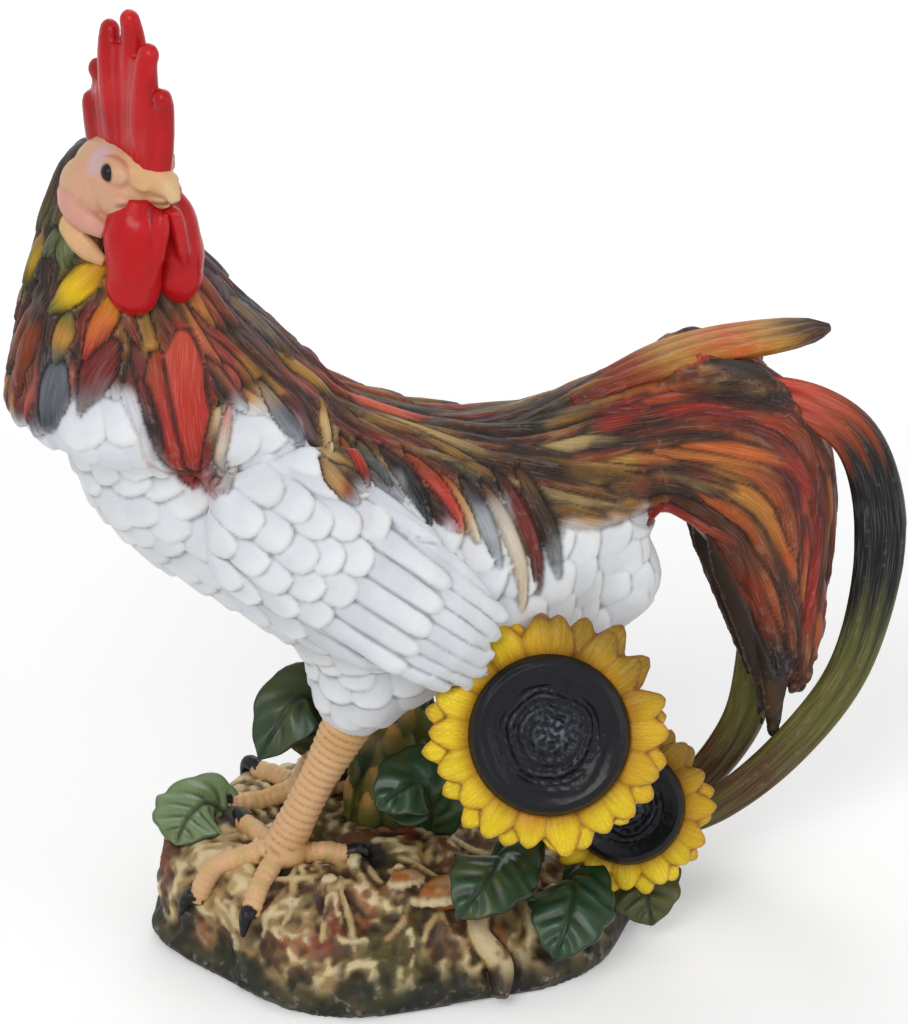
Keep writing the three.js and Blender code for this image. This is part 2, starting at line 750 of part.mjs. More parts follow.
// Cut the bird's castings to each other and bore them for the rods
const base = baseBlank
  .subtract(legRod(-1, BORE_GAP))
  .subtract(legRod(1, BORE_GAP));
const torso = torsoBlank
  .subtract(legRod(-1, BORE_GAP))
  .subtract(legRod(1, BORE_GAP))
  .subtract(wingDowel(-1, BORE_GAP))
  .subtract(wingDowel(1, BORE_GAP))
  .subtract(neckRod(BORE_GAP))
  .subtract(tailRod(BORE_GAP));
const leg = (side) => seated(legBlank(side), [baseBlank, torsoBlank]).subtract(legRod(side, BORE_GAP));
const cape = seated(capeBlank, [torsoBlank]);
const head = seated(headBlank, [capeBlank]);
const comb = seated(combBlank, [headBlank, capeBlank]);
const wattle = (side) => seated(wattleBlank(side), [headBlank, capeBlank]);
const wing = (side) => seated(wingBlank(side), [torsoBlank, capeBlank]).subtract(wingDowel(side, BORE_GAP));
const tailCore = seated(tailCoreBlank, [torsoBlank]);

const paint = (color, roughness, metalness = 0) =>
  new THREE.MeshStandardMaterial({ color, roughness, metalness });
const statue = new THREE.Group();
statue.name = "cockerel_statue";
function place(name, solid, material) {
  const mesh = new THREE.Mesh(geometryOf(solid), material);
  mesh.name = name;
  statue.add(mesh);
  return solid;
}

place("base_rock", base, paint("#a58a5c", 0.6));
place("torso", torso, paint("#e2e4e6", 0.45));
const stump = seated(stumpBlank, [baseBlank, torsoBlank, legBlank(-1), legBlank(1)]);
place("support_stump", stump, paint("#6f7440", 0.55));
place("neck_cape", cape.subtract(neckRod(BORE_GAP)), paint("#8c4530", 0.45));
place("head", head.subtract(neckRod(BORE_GAP)), paint("#cda07d", 0.45));
place("comb", comb, paint("#c8232d", 0.35));
place("tail_core", tailCore.subtract(tailRod(BORE_GAP)), paint("#8a4a2a", 0.45));
place("neck_rod", neckRod(), paint("#8b8f94", 0.4, 1));
place("tail_rod", tailRod(), paint("#8b8f94", 0.4, 1));
for (const [name, side] of Object.entries(SIDES)) {
  place(`${name}_leg`, leg(side), paint("#d7aa78", 0.45));
  place(`${name}_leg_rod`, legRod(side), paint("#8b8f94", 0.4, 1));
  place(`${name}_wing`, wing(side), paint("#e2e4e6", 0.45));
  place(`${name}_wing_dowel`, wingDowel(side), paint("#b08a58", 0.7));
}
place("left_wattle", wattle(-1), paint("#be1419", 0.35));
place("right_wattle", seated(wattle(1), [wattleBlank(-1)]), paint("#be1419", 0.35));

// Tail feathers are laid on from the lowest to the uppermost
place("tail_top_feather", seated(topFeatherBlank, [tailCoreBlank, torsoBlank]), paint("#b5702f", 0.4));
const laid = [tailCoreBlank, torsoBlank, topFeatherBlank];
for (const [name, side] of Object.entries(SIDES)) {
  for (const index of [2, 1, 0]) {
    const blank = hangingFeather(side, index);
    place(`${name}_tail_feather_${index + 1}`, seated(blank, laid), paint("#b4462e", 0.4));
    laid.push(blank);
  }
}
for (const name of Object.keys(SIDES)) {
  const blank = sickleBlank(name);
  place(`${name}_sickle`, seated(blank, [baseBlank, ...laid]), paint("#4c4526", 0.4));
  laid.push(blank);
}

// Sunflowers: petals round a plate, a ribbed disc on it, and a stem with a peg through both
const flowerTurn = THREE.MathUtils.degToRad(FLOWER_TURN);
const flowerTilt = THREE.MathUtils.degToRad(FLOWER_TILT);
const facing = vec(
  Math.sin(flowerTurn) * Math.cos(flowerTilt),
  -Math.cos(flowerTurn) * Math.cos(flowerTilt),
  Math.sin(flowerTilt),
);
const flowerRight = vec(Math.cos(flowerTurn), Math.sin(flowerTurn), 0);
const flowerUp = facing.clone().cross(flowerRight);
const turned = (profile, segments) =>
  new THREE.LatheGeometry(
    profile.map(([r, z]) => new THREE.Vector2(r, z)),
    segments,
  ).rotateX(Math.PI / 2);
function flower(name, centre, discRadius, petalLength, petals, stemFoot, neighbours) {
  const frame = new THREE.Matrix4().makeBasis(flowerRight, flowerUp, facing).setPosition(centre);
  const at = (x, y, z) => vec(x, y, z).applyMatrix4(frame);
  const plateBack = -CALYX_DEPTH - PETAL_THICKNESS;
  const plate = solidOf(
    turned(
      [
        [0, plateBack],
        [discRadius * 0.9, plateBack],
        [discRadius * 1.08, -CALYX_DEPTH * 0.6],
        [discRadius, -SEAT_GAP],
        [0, -SEAT_GAP],
      ],
      24,
    ).applyMatrix4(frame),
  );
  const petalWidth = ((2 * Math.PI * (discRadius + petalLength * 0.5)) / petals) * 1.35;
  const ring = Array.from({ length: petals }, (_, i) => {
    const a = (2 * Math.PI * i) / petals;
    const layer = i % 2 ? -2 : 1;
    const spoke = (r, z) => at(r * Math.cos(a), r * Math.sin(a), z + layer);
    return blade(
      [
        spoke(discRadius - 4, -CALYX_DEPTH),
        spoke(discRadius + petalLength * 0.4, -CALYX_DEPTH + 2),
        spoke(discRadius + petalLength, -CALYX_DEPTH - 1),
      ],
      facing,
      {
        width: petalWidth,
        thickness: PETAL_THICKNESS,
        root: 0.6,
        tip: 0.12,
        fullest: 0.55,
        count: 3,
        sides: 4,
      },
    );
  });
  const peg = (gap) =>
    rod(at(0, 0, plateBack - 4), at(0, 0, DISC_DEPTH * 0.3 + gap), STEM_PEG_RADIUS + gap);
  const disc = solidOf(
    turned(
      [
        [0, 0],
        [discRadius * 0.94, 0],
        [discRadius, DISC_DEPTH * 0.3],
        [discRadius * 0.97, DISC_DEPTH * 0.72],
        [discRadius * 0.88, DISC_DEPTH],
        [discRadius * 0.74, DISC_DEPTH * 0.86],
        [discRadius * 0.62, DISC_DEPTH * 0.58],
        [discRadius * 0.48, DISC_DEPTH * 0.7],
        [discRadius * 0.34, DISC_DEPTH * 0.72],
        [discRadius * 0.16, DISC_DEPTH * 0.84],
        [0, DISC_DEPTH * 0.88],
      ],
      24,
    ).applyMatrix4(frame),
  ).subtract(peg(BORE_GAP));
  const petalsBlank = seated(joined([plate, ...ring]), [disc, ...neighbours]);
  const stemTop = at(0, 0, plateBack - SEAT_GAP);
  const below = at(0, 0, plateBack - 12);
  const stemTube = tube(
    [stemFoot, stemFoot.clone().lerp(below, 0.55).add(vec(0, 6, 4)), below, stemTop],
    [STEM_RADIUS * 1.2, STEM_RADIUS, STEM_RADIUS * 1.1, discRadius * 0.5],
    { sides: 10, count: 7 },
  );
  const stem = seated(stemTube, [petalsBlank, baseBlank, ...neighbours]).add(peg(0));
  place(`${name}_petals`, petalsBlank.subtract(peg(BORE_GAP)), paint("#e6c21e", 0.4));
  place(`${name}_disc`, disc, paint("#14161c", 0.25));
  place(`${name}_stem`, largest(stem), paint("#44602e", 0.5));
  return [petalsBlank, disc, stem];
}
// The large flower stands beside the rear of the torso, the small one on the rear of the base
const LARGE_FLOWER_X = torsoX(0.722);
const LARGE_FLOWER_Z = KNEE_Z + LARGE_FLOWER_ABOVE_KNEE;
const largeCentre = vec(
  LARGE_FLOWER_X,
  -flank(LARGE_FLOWER_X, LARGE_FLOWER_Z) - LARGE_FLOWER_STANDOFF,
  LARGE_FLOWER_Z,
);
const large = flower(
  "large_flower",
  largeCentre,
  LARGE_DISC_RADIUS,
  LARGE_PETAL_LENGTH,
  LARGE_PETALS,
  vec(LARGE_FLOWER_X + 0.2 * LARGE_DISC_RADIUS, -0.185 * BASE_WIDTH, BASE_EDGE_HEIGHT * 1.67),
  [torsoBlank, wingBlank(-1)],
);
const smallCentre = vec(0.375 * BASE_LENGTH, -0.28 * BASE_WIDTH, BASE_HEIGHT + SMALL_FLOWER_ABOVE_BASE);
const small = flower(
  "small_flower",
  smallCentre,
  SMALL_DISC_RADIUS,
  SMALL_PETAL_LENGTH,
  SMALL_PETALS,
  vec(0.32 * BASE_LENGTH, -0.068 * BASE_WIDTH, BASE_EDGE_HEIGHT * 1.53),
  [...large, ...laid],
);

// Leaves grow out of the base round the flowers and behind the legs
const LEAF_IN_BASE = 8;
const overBase = (x, y) => [x * BASE_LENGTH, y * BASE_WIDTH];
function planting(x, y) {
  const spot = overBase(x, y);
  return vec(...spot, groundZ(...spot) - LEAF_IN_BASE);
}
// Points of a leaf over the base: shares of the base's length and width, and of the knees' height
const leafPoint = (x, y, z) => vec(...overBase(x, y), z * KNEE_Z);
const leaves = {
  behind_leg: [
    planting(-0.133, 0.165),
    leafPoint(-0.172, 0.126, 0.72),
    leafPoint(-0.234, 0.068, 0.953),
    leafPoint(-0.328, 0.019, 0.75),
  ],
  under_belly: [
    planting(0.008, -0.097),
    leafPoint(-0.008, -0.165, 0.61),
    leafPoint(-0.047, -0.194, 0.75),
    leafPoint(-0.133, -0.223, 0.688),
  ],
  below_flower: [
    planting(0.109, -0.223),
    leafPoint(0.107, -0.329, 0.47),
    leafPoint(0.064, -0.411, 0.5),
    leafPoint(-0.014, -0.469, 0.385),
  ],
  front: [
    planting(0.246, -0.262),
    leafPoint(0.243, -0.372, 0.362),
    leafPoint(0.213, -0.468, 0.331),
    leafPoint(0.169, -0.533, 0.187),
  ],
  right: [
    planting(0.359, -0.165),
    leafPoint(0.391, -0.243, 0.266),
    leafPoint(0.406, -0.311, 0.219),
    leafPoint(0.414, -0.369, 0.094),
  ],
  left: [
    planting(-0.359, 0.107),
    leafPoint(-0.422, 0.097, 0.484),
    leafPoint(-0.469, 0.058, 0.477),
    leafPoint(-0.508, -0.01, 0.43),
  ],
};
const planted = [baseBlank, torsoBlank, stumpBlank, legBlank(-1), legBlank(1), ...large, ...small, ...laid];
for (const [name, points] of Object.entries(leaves)) {
  const blank = blade(points, vec(-0.25, -0.6, 0.76), {
    width: LEAF_WIDTH,
    thickness: LEAF_THICKNESS,
    root: 0.25,
    fullest: 0.62,
    count: 8,
    sides: 6,
  });
  place(`leaf_${name}`, seated(blank, planted), paint("#2f4d2c", 0.4));
  planted.push(blank);
}

export default statue;
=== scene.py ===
"""Painted cast cockerel with sunflowers on a rock mound: the looks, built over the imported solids.

Shapes are worked out in millimetres, in the frame of the solids, and turned into metres at the end.
The bird's body faces -X and its left side is -Y.
"""

import math

import bpy
import numpy as np
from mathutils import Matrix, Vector, noise
from mathutils.bvhtree import BVHTree


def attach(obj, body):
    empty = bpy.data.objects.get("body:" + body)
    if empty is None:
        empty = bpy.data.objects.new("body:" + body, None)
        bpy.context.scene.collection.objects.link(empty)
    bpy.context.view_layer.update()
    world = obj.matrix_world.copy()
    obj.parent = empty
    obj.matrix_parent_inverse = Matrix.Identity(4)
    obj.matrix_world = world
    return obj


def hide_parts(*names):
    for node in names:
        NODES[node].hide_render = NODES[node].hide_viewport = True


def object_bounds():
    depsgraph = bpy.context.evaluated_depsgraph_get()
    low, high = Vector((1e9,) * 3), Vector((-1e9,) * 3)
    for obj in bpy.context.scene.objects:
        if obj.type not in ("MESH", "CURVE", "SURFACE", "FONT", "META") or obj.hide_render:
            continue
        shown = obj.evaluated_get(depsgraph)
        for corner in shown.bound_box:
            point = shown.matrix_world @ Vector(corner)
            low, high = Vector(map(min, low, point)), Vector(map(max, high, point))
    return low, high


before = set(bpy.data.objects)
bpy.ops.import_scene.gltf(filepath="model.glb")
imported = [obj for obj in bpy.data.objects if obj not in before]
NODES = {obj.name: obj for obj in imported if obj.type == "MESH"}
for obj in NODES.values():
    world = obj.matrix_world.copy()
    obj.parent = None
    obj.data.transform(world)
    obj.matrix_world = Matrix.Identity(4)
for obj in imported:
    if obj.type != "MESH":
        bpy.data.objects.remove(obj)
cad_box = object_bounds()
MM = 0.001
SIDES = (("left", -1), ("right", 1))

# Steps of a smooth line between two of its points
SPLINE_STEPS = 24

# Grain of the finest castings, in millimetres, and rounds of smoothing that show the hollows
CAST_VOXEL = 0.9
HOLLOW_ROUNDS = 10

rng = np.random.default_rng(11)

# Paint colours as they look, from 0 to 255
COLOURS = {
    "white": (226, 231, 238), "snow": (240, 242, 243), "grey": (150, 156, 164), "slate": (92, 98, 108),
    "black": (26, 25, 26), "navy": (18, 21, 30), "maroon": (112, 38, 36), "red": (186, 52, 40),
    "scarlet": (196, 20, 26), "crimson": (164, 12, 18), "orange": (206, 104, 46), "rust": (150, 66, 34),
    "ochre": (188, 138, 58), "sand": (206, 176, 118), "olive": (104, 100, 44), "moss": (84, 86, 42),
    "brown": (92, 60, 36), "umber": (52, 38, 28), "cream": (224, 206, 160), "flesh": (214, 168, 134),
    "peach": (222, 178, 130), "pink": (216, 158, 140), "yellow": (236, 194, 16), "lemon": (246, 214, 40),
    "gold": (206, 146, 30), "leaf": (40, 68, 38), "sage": (120, 142, 96), "teal": (88, 126, 112),
    "pine": (20, 34, 22), "coral": (206, 92, 70), "rose": (212, 56, 60), "wine": (96, 8, 16),
    "lilac": (206, 178, 190), "frost": (150, 166, 190),
}


def linear(rgb):
    """A colour as it looks, turned into amounts of light."""
    c = np.asarray(rgb, float) / 255
    return np.where(c <= 0.04045, c / 12.92, ((c + 0.055) / 1.055) ** 2.4)


PAINT = {name: linear(rgb) for name, rgb in COLOURS.items()}


def unit(v):
    v = np.asarray(v, float)
    return v / np.maximum(np.linalg.norm(v, axis=-1, keepdims=True), 1e-9)


def smoothstep(low, high, x):
    t = np.clip((np.asarray(x, float) - low) / (high - low), 0, 1)
    return t * t * (3 - 2 * t)


def mixed(a, b, t):
    t = np.asarray(t, float)[..., None]
    return np.asarray(a) * (1 - t) + np.asarray(b) * t


def tinted(colours, name, share):
    """The colours with a share of one paint mixed in."""
    return mixed(colours, PAINT[name], share)


def graded(three, t):
    """Three colours, from root to tip, spread over shares of a length."""
    root, middle, tip = (np.asarray(c, float) for c in three)
    return mixed(mixed(root, middle, smoothstep(0.05, 0.5, t)), tip, smoothstep(0.5, 0.95, t))


def coated(name, points):
    """One paint for every point."""
    return np.tile(PAINT[name], (len(points), 1))


# Paths


def steps(path):
    """Lengths between the points of a path."""
    return np.linalg.norm(np.diff(path, axis=0), axis=1)


def gone_by(path):
    """Length of a path up to each of its points."""
    return np.concatenate([[0], np.cumsum(steps(path))])


def taken(at, gone, rows):
    """Rows of three numbers, read at lengths along a path."""
    return np.stack([np.interp(at, gone, rows[:, k]) for k in range(3)], 1)


def axes_along(path, normals):
    """Unit vectors along a path, across it and up from it."""
    along = unit(np.gradient(path, axis=0))
    across = unit(np.cross(normals, along))
    return along, across, np.cross(along, across)


def evened(normals):
    """Normals of a path without sudden turns."""
    for _ in range(3):
        normals[1:-1] = (normals[:-2] + normals[1:-1] + normals[2:]) / 3
    return unit(normals)


def resampled(points, normals, stations):
    """Points and normals of a path at shares of its length."""
    gone = gone_by(points)
    at = np.asarray(stations) * gone[-1]
    return taken(at, gone, points), unit(taken(at, gone, normals))


def spline(points, count):
    """Evenly spread points on a smooth line through the given ones."""
    p = np.asarray(points, float)
    ext = np.vstack([2 * p[0] - p[1], p, 2 * p[-1] - p[-2]])
    out = []
    for i in range(len(p) - 1):
        a, b, c, d = ext[i : i + 4]
        for t in np.linspace(0, 1, SPLINE_STEPS, endpoint=False):
            line = 2 * b + (c - a) * t
            out.append(0.5 * (line + (2 * a - 5 * b + 4 * c - d) * t**2 + (3 * b - a - 3 * c + d) * t**3))
    out = np.array([*out, p[-1]])
    gone = gone_by(out)
    return taken(np.linspace(0, gone[-1], count), gone, out)


# Meshes


# Columns of the tags that every point carries
COLOUR = slice(0, 3)
STRAND = slice(3, 6)
STRAND_SEED = 5
BRUSH = 6
RIM = 7
TAG_COUNT = 8


class Clay:
    """Closed shells that are melted into one skin.

    The tags of a point are a colour, a place on its strand, how much it is brushed and how near a rim it is.
    """

    def __init__(self):
        self.points, self.quads, self.tris, self.tags = [], [], [], []
        self.count = 0

    def add(self, points, quads=(), tris=(), colour=(1, 1, 1), strand=(0, 0, 0), brush=0.0, rim=0.0):
        points = np.asarray(points, float)
        n = len(points)
        tags = np.empty((n, TAG_COUNT))
        tags[:, COLOUR] = colour
        tags[:, STRAND] = strand
        tags[:, BRUSH] = brush
        tags[:, RIM] = rim
        self.points.append(points)
        self.tags.append(tags)
        if len(quads):
            self.quads.append(np.asarray(quads, int) + self.count)
        if len(tris):
            self.tris.append(np.asarray(tris, int) + self.count)
        self.count += n
        return self

    def arrays(self):
        empty = lambda k: np.zeros((0, k), int)
        return (
            np.concatenate(self.points),
            np.concatenate(self.quads) if self.quads else empty(4),
            np.concatenate(self.tris) if self.tris else empty(3),
            np.concatenate(self.tags),
        )


def mesh_of(name, points, quads, tris=()):
    tris = np.asarray(tris, int).reshape(-1, 3)
    quads = np.asarray(quads, int).reshape(-1, 4)
    mesh = bpy.data.meshes.new(name)
    mesh.vertices.add(len(points))
    mesh.vertices.foreach_set("co", np.asarray(points, np.float32).ravel())
    corners = np.concatenate([quads.ravel(), tris.ravel()]).astype(np.int32)
    mesh.loops.add(len(corners))
    mesh.loops.foreach_set("vertex_index", corners)
    sizes = np.concatenate([np.full(len(quads), 4), np.full(len(tris), 3)])
    starts = np.concatenate([[0], np.cumsum(sizes)[:-1]]).astype(np.int32)
    mesh.polygons.add(len(sizes))
    mesh.polygons.foreach_set("loop_start", starts)
    mesh.update(calc_edges=True)
    mesh.validate()
    return mesh


def read_mesh(mesh):
    """Points and triangles or quads of a mesh as arrays."""
    points = np.empty(len(mesh.vertices) * 3, np.float32)
    mesh.vertices.foreach_get("co", points)
    corners = np.empty(len(mesh.loops), np.int32)
    mesh.loops.foreach_get("vertex_index", corners)
    sizes = np.empty(len(mesh.polygons), np.int32)
    mesh.polygons.foreach_get("loop_total", sizes)
    starts = np.empty(len(mesh.polygons), np.int32)
    mesh.polygons.foreach_get("loop_start", starts)
    pick = lambda k: corners[starts[sizes == k][:, None] + np.arange(k)]
    return points.reshape(-1, 3).astype(float), pick(4), pick(3)


def cad_shell(clay, *names):
    """Adds the solids of these nodes to the clay."""
    for name in names:
        points, _, tris = read_mesh(NODES[name].data)
        keys = np.round(points * 1e6).astype(np.int64)
        _, first, back = np.unique(keys, axis=0, return_index=True, return_inverse=True)
        tris = back.reshape(-1)[tris]
        whole = (tris[:, 0] != tris[:, 1]) & (tris[:, 1] != tris[:, 2]) & (tris[:, 0] != tris[:, 2])
        clay.add(points[first] / MM, tris=tris[whole])
    return clay


def melted(clay, voxel):
    """One closed skin of quads round all the shells."""
    raw = mesh_of("raw", *clay.arrays()[:3])
    obj = bpy.data.objects.new("raw", raw)
    bpy.context.scene.collection.objects.link(obj)
    mod = obj.modifiers.new("melt", "REMESH")
    mod.mode = "VOXEL"
    mod.voxel_size = voxel
    made = bpy.data.meshes.new_from_object(
        obj.evaluated_get(bpy.context.evaluated_depsgraph_get())
    )
    points, quads, _ = read_mesh(made)
    bpy.data.objects.remove(obj)
    bpy.data.meshes.remove(raw)
    bpy.data.meshes.remove(made)
    return points, quads


def edges_of(quads):
    e = np.concatenate([quads[:, [0, 1]], quads[:, [1, 2]], quads[:, [2, 3]], quads[:, [3, 0]]])
    return np.unique(np.sort(e, axis=1), axis=0)


def relaxed(points, quads, rounds, share=0.5):
    """Points drawn towards the middle of their neighbours."""
    if not rounds:
        return points
    e = edges_of(quads)
    n = len(points)
    a = np.concatenate([e[:, 0], e[:, 1]])
    b = np.concatenate([e[:, 1], e[:, 0]])
    degree = np.maximum(np.bincount(a, minlength=n), 1)
    for _ in range(rounds):
        mean = np.stack([np.bincount(a, points[b, k], n) / degree for k in range(3)], 1)
        points = points + (mean - points) * share
    return points


def normals_of(points, quads):
    d = np.cross(points[quads[:, 2]] - points[quads[:, 0]], points[quads[:, 3]] - points[quads[:, 1]])
    out = np.zeros_like(points)
    for k in range(4):
        for axis in range(3):
            out[:, axis] += np.bincount(quads[:, k], d[:, axis], len(points))
    return unit(out)


def hollows(points, quads, rounds):
    """How deep each point lies below the smoothed surface, in millimetres; ridges are negative."""
    return ((relaxed(points, quads, rounds) - points) * normals_of(points, quads)).sum(1)


class Skin:
    """A surface that points can be dropped on and feathers can be laid along."""

    def __init__(self, points, quads):
        self.points, self.quads = points, quads
        self.normals = normals_of(points, quads)
        self.tree = BVHTree.FromPolygons(points.tolist(), quads.tolist())

    def drop(self, p):
        """The nearest place on the surface, and its normal."""
        return self.tree.find_nearest(p)[:2]

    def hit(self, start, way):
        """The place where a straight line from the start meets the surface, and its normal."""
        return self.tree.ray_cast(Vector(start), Vector(way))[:2]

    def seeds(self, spacing, keep, seed):
        """Spread-out points of the surface, no closer than the spacing, where keep is true."""
        order = np.random.default_rng(seed).permutation(len(self.points))
        cells, picked = {}, []
        for i in order:
            p = self.points[i]
            if not keep(p, self.normals[i]):
                continue
            key = tuple((p // spacing).astype(int))
            near = (
                q
                for dx in (-1, 0, 1)
                for dy in (-1, 0, 1)
                for dz in (-1, 0, 1)
                for q in cells.get((key[0] + dx, key[1] + dy, key[2] + dz), ())
            )
            if all(((p - q) ** 2).sum() > spacing**2 for q in near):
                cells.setdefault(key, []).append(p)
                picked.append(p)
        return picked


# Feathers: stations along the length with shares of the width and of the height
FORMS = {
    "scallop": (
        [0, 0.2, 0.42, 0.62, 0.78, 0.9, 0.97, 1],
        [0.55, 0.8, 0.96, 1, 0.92, 0.72, 0.42, 0.1],
        [0.1, 0.32, 0.55, 0.78, 0.94, 1, 0.8, 0.3],
    ),
    "lancet": (
        [0, 0.1, 0.2, 0.3, 0.4, 0.5, 0.6, 0.7, 0.8, 0.88, 0.95, 1],
        [0.3, 0.58, 0.8, 0.94, 1, 1, 0.94, 0.82, 0.62, 0.42, 0.2, 0.04],
        [0.1, 0.42, 0.66, 0.82, 0.92, 1, 1, 0.95, 0.85, 0.7, 0.45, 0.12],
    ),
    "quill": (
        [0, 0.08, 0.18, 0.3, 0.42, 0.54, 0.66, 0.78, 0.87, 0.94, 0.98, 1],
        [0.5, 0.75, 0.92, 1, 1, 1, 1, 0.98, 0.88, 0.66, 0.38, 0.1],
        [0.15, 0.4, 0.62, 0.76, 0.85, 0.92, 0.97, 1, 1, 0.9, 0.62, 0.25],
    ),
    "petal": (
        [0, 0.18, 0.36, 0.54, 0.7, 0.83, 0.92, 0.97, 1],
        [0.55, 0.72, 0.9, 1, 1, 0.88, 0.66, 0.42, 0.12],
        [0.5, 0.8, 0.95, 1, 1, 0.95, 0.8, 0.6, 0.3],
    ),
}

# How full the upper half of a closed feather is
FULLNESS = {"lancet": 1.0, "petal": 0.7}
RING = 12
RING_ANGLES = np.arange(RING) * 2 * math.pi / RING


def shell_quads(rows, ring=RING):
    """Quads of a tube of rings, with both ends closed. The ring has an even count of points."""
    quads = []
    for r in range(rows - 1):
        for i in range(ring):
            j = (i + 1) % ring
            quads.append((r * ring + i, r * ring + j, (r + 1) * ring + j, (r + 1) * ring + i))
    last = (rows - 1) * ring
    for k in range(ring // 2 - 1):
        a, b, c, d = k, k + 1, ring - 2 - k, ring - 1 - k
        quads.append((d, c, b, a))
        quads.append((last + a, last + b, last + c, last + d))
    return np.array(quads)


SHELLS = {name: shell_quads(len(FORMS[name][0])) for name in FULLNESS}

# How far apart the strands of two feathers lie: across and along
STRANDS_APART = (400, 900)


def plume(clay, path, normals, form, width, thick, colours, sink=2.0, lift=0.0, edge=None):
    """Lays one closed feather or petal along a path, with three colours from root to tip."""
    stations, wide, high = (np.array(a) for a in FORMS[form])
    _, across, up = axes_along(path, normals)
    u, s = np.cos(RING_ANGLES), np.sin(RING_ANGLES)
    top = np.where(s > 0, np.abs(s) ** FULLNESS[form], 0)
    low = np.where(s < 0, s, 0)
    w = wide[:, None] * width / 2
    rise = high[:, None] * thick * top + sink * low * wide[:, None] + (lift * stations**2)[:, None]
    points = path[:, None] + across[:, None] * (w * u)[..., None] + up[:, None] * rise[..., None]
    v = np.repeat(stations[:, None], RING, 1)
    colour = graded(colours, v)
    # The edge paint darkens the sides of a petal: a painted shade between neighbouring petals
    if edge:
        name, share = edge
        colour = tinted(colour, name, share * smoothstep(0.55, 1, np.abs(u)) * np.ones_like(v))
    rim = np.maximum(np.abs(u)[None, :], smoothstep(0.84, 1, v))
    seed = rng.random()
    place = (w * u + seed * STRANDS_APART[0], v * steps(path).sum() + seed * STRANDS_APART[1])
    strand = np.stack([*place, np.full_like(v, seed)], -1)
    rows = lambda a: a.reshape(-1, 3)
    clay.add(rows(points), SHELLS[form], (), rows(colour), rows(strand), 1.0, rim.ravel())


def tube(points, radii, ring=12, flat=(1.0, 1.0), normal=(0, 0, 1)):
    """Rings of a round or oval tube along a line, as points and quads."""
    points = np.asarray(points, float)
    _, across, up = axes_along(points, normal)
    a = np.arange(ring) * 2 * math.pi / ring
    r = np.asarray(radii, float)[:, None]
    out = (
        points[:, None, :]
        + across[:, None, :] * (r * np.cos(a) * flat[0])[..., None]
        + up[:, None, :] * (r * np.sin(a) * flat[1])[..., None]
    )
    return out.reshape(-1, 3), shell_quads(len(points), ring)


def egg(clay, centre, axes, sizes, colour=(1, 1, 1), turns=20, rows=14):
    """An ellipsoid with its axes along three unit vectors."""
    t = np.linspace(0.02, math.pi - 0.02, rows)
    a = np.arange(turns) * 2 * math.pi / turns
    x = np.sin(t)[:, None] * np.cos(a)
    y = np.sin(t)[:, None] * np.sin(a)
    z = np.cos(t)[:, None] * np.ones(turns)
    local = np.stack([x, y, -z], -1).reshape(-1, 3) * np.asarray(sizes) / 2
    clay.add(np.asarray(centre) + local @ np.asarray(axes), shell_quads(rows, turns), colour=colour)


# Paint


def tags_at(clay, points):
    """Tags of the clay nearest to each point."""
    p, quads, tris, tags = clay.arrays()
    faces = [tuple(f) for f in quads.tolist()] + [tuple(f) for f in tris.tolist()]
    tree = BVHTree.FromPolygons(p.tolist(), faces)
    found = np.empty(len(points), int)
    places = np.empty((len(points), 3))
    for i, q in enumerate(points.tolist()):
        place, _, face, _ = tree.find_nearest(q)
        found[i] = face
        places[i] = place
    corners = np.full((len(faces), 4), -1)
    corners[: len(quads)] = quads
    if len(tris):
        corners[len(quads) :, :3] = tris
        corners[len(quads) :, 3] = tris[:, 0]
    c = corners[found]
    near = 1 / (np.linalg.norm(p[c] - places[:, None, :], axis=2) ** 2 + 1e-3)
    near /= near.sum(1, keepdims=True)
    return (tags[c] * near[..., None]).sum(1)


def airbrush(colours, points, share):
    """Sprays the soft strokes on, alike on both sides of the bird."""
    flat = points.copy()
    flat[:, 1] = -np.abs(flat[:, 1])
    for name, radius, strength, line in STROKES:
        line = np.asarray(line, float)
        best = np.full(len(points), np.inf)
        for a, b in zip(line[:-1], line[1:]):
            ab = b - a
            t = np.clip(((flat - a) @ ab) / (ab @ ab), 0, 1)
            best = np.minimum(best, np.linalg.norm(flat - a - t[:, None] * ab, axis=1))
        soft = 1 - smoothstep(0.45, 1.15, best / radius)
        colours = tinted(colours, name, soft * strength * share)
    return colours


def shade_hollows(colours, depth, name, reach, strength):
    """Darker paint in the hollows: a painted shade."""
    return tinted(colours, name, strength * smoothstep(0.0, reach, depth))


def lobes(points, scale, seed=0.0):
    """Smooth noise from -1 to 1 at each point."""
    at = points * scale + seed
    return np.array([noise.noise(q) for q in at.tolist()])


# Finished pieces


def piece(name, points, quads, colours, material, nodes, strand=None, hollow=None, brush=None):
    """Makes the object, with its paint as point attributes, and lets it stand for its nodes."""
    low, high = np.array(cad_box[0]) / MM, np.array(cad_box[1]) / MM
    mesh = mesh_of(name, np.clip(points, low, high) * MM, quads)
    n = len(points)
    rgba = np.ones((n, 4), np.float32)
    rgba[:, :3] = np.clip(colours, 0, 1)
    layers = (
        ("paint", "FLOAT_COLOR", "color", rgba),
        ("strand", "FLOAT_VECTOR", "vector", np.zeros((n, 3)) if strand is None else strand),
        ("hollow", "FLOAT", "value", np.zeros(n) if hollow is None else hollow),
        ("brush", "FLOAT", "value", np.zeros(n) if brush is None else brush),
    )
    for key, kind, field, values in layers:
        layer = mesh.attributes.new(key, kind, "POINT")
        layer.data.foreach_set(field, np.asarray(values, np.float32).ravel())
    mesh.polygons.foreach_set("use_smooth", np.ones(len(mesh.polygons), bool))
    mesh.materials.append(material)
    obj = bpy.data.objects.new(name, mesh)
    bpy.context.scene.collection.objects.link(obj)
    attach(obj, "root")
    if nodes:
        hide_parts(*nodes)
    return obj


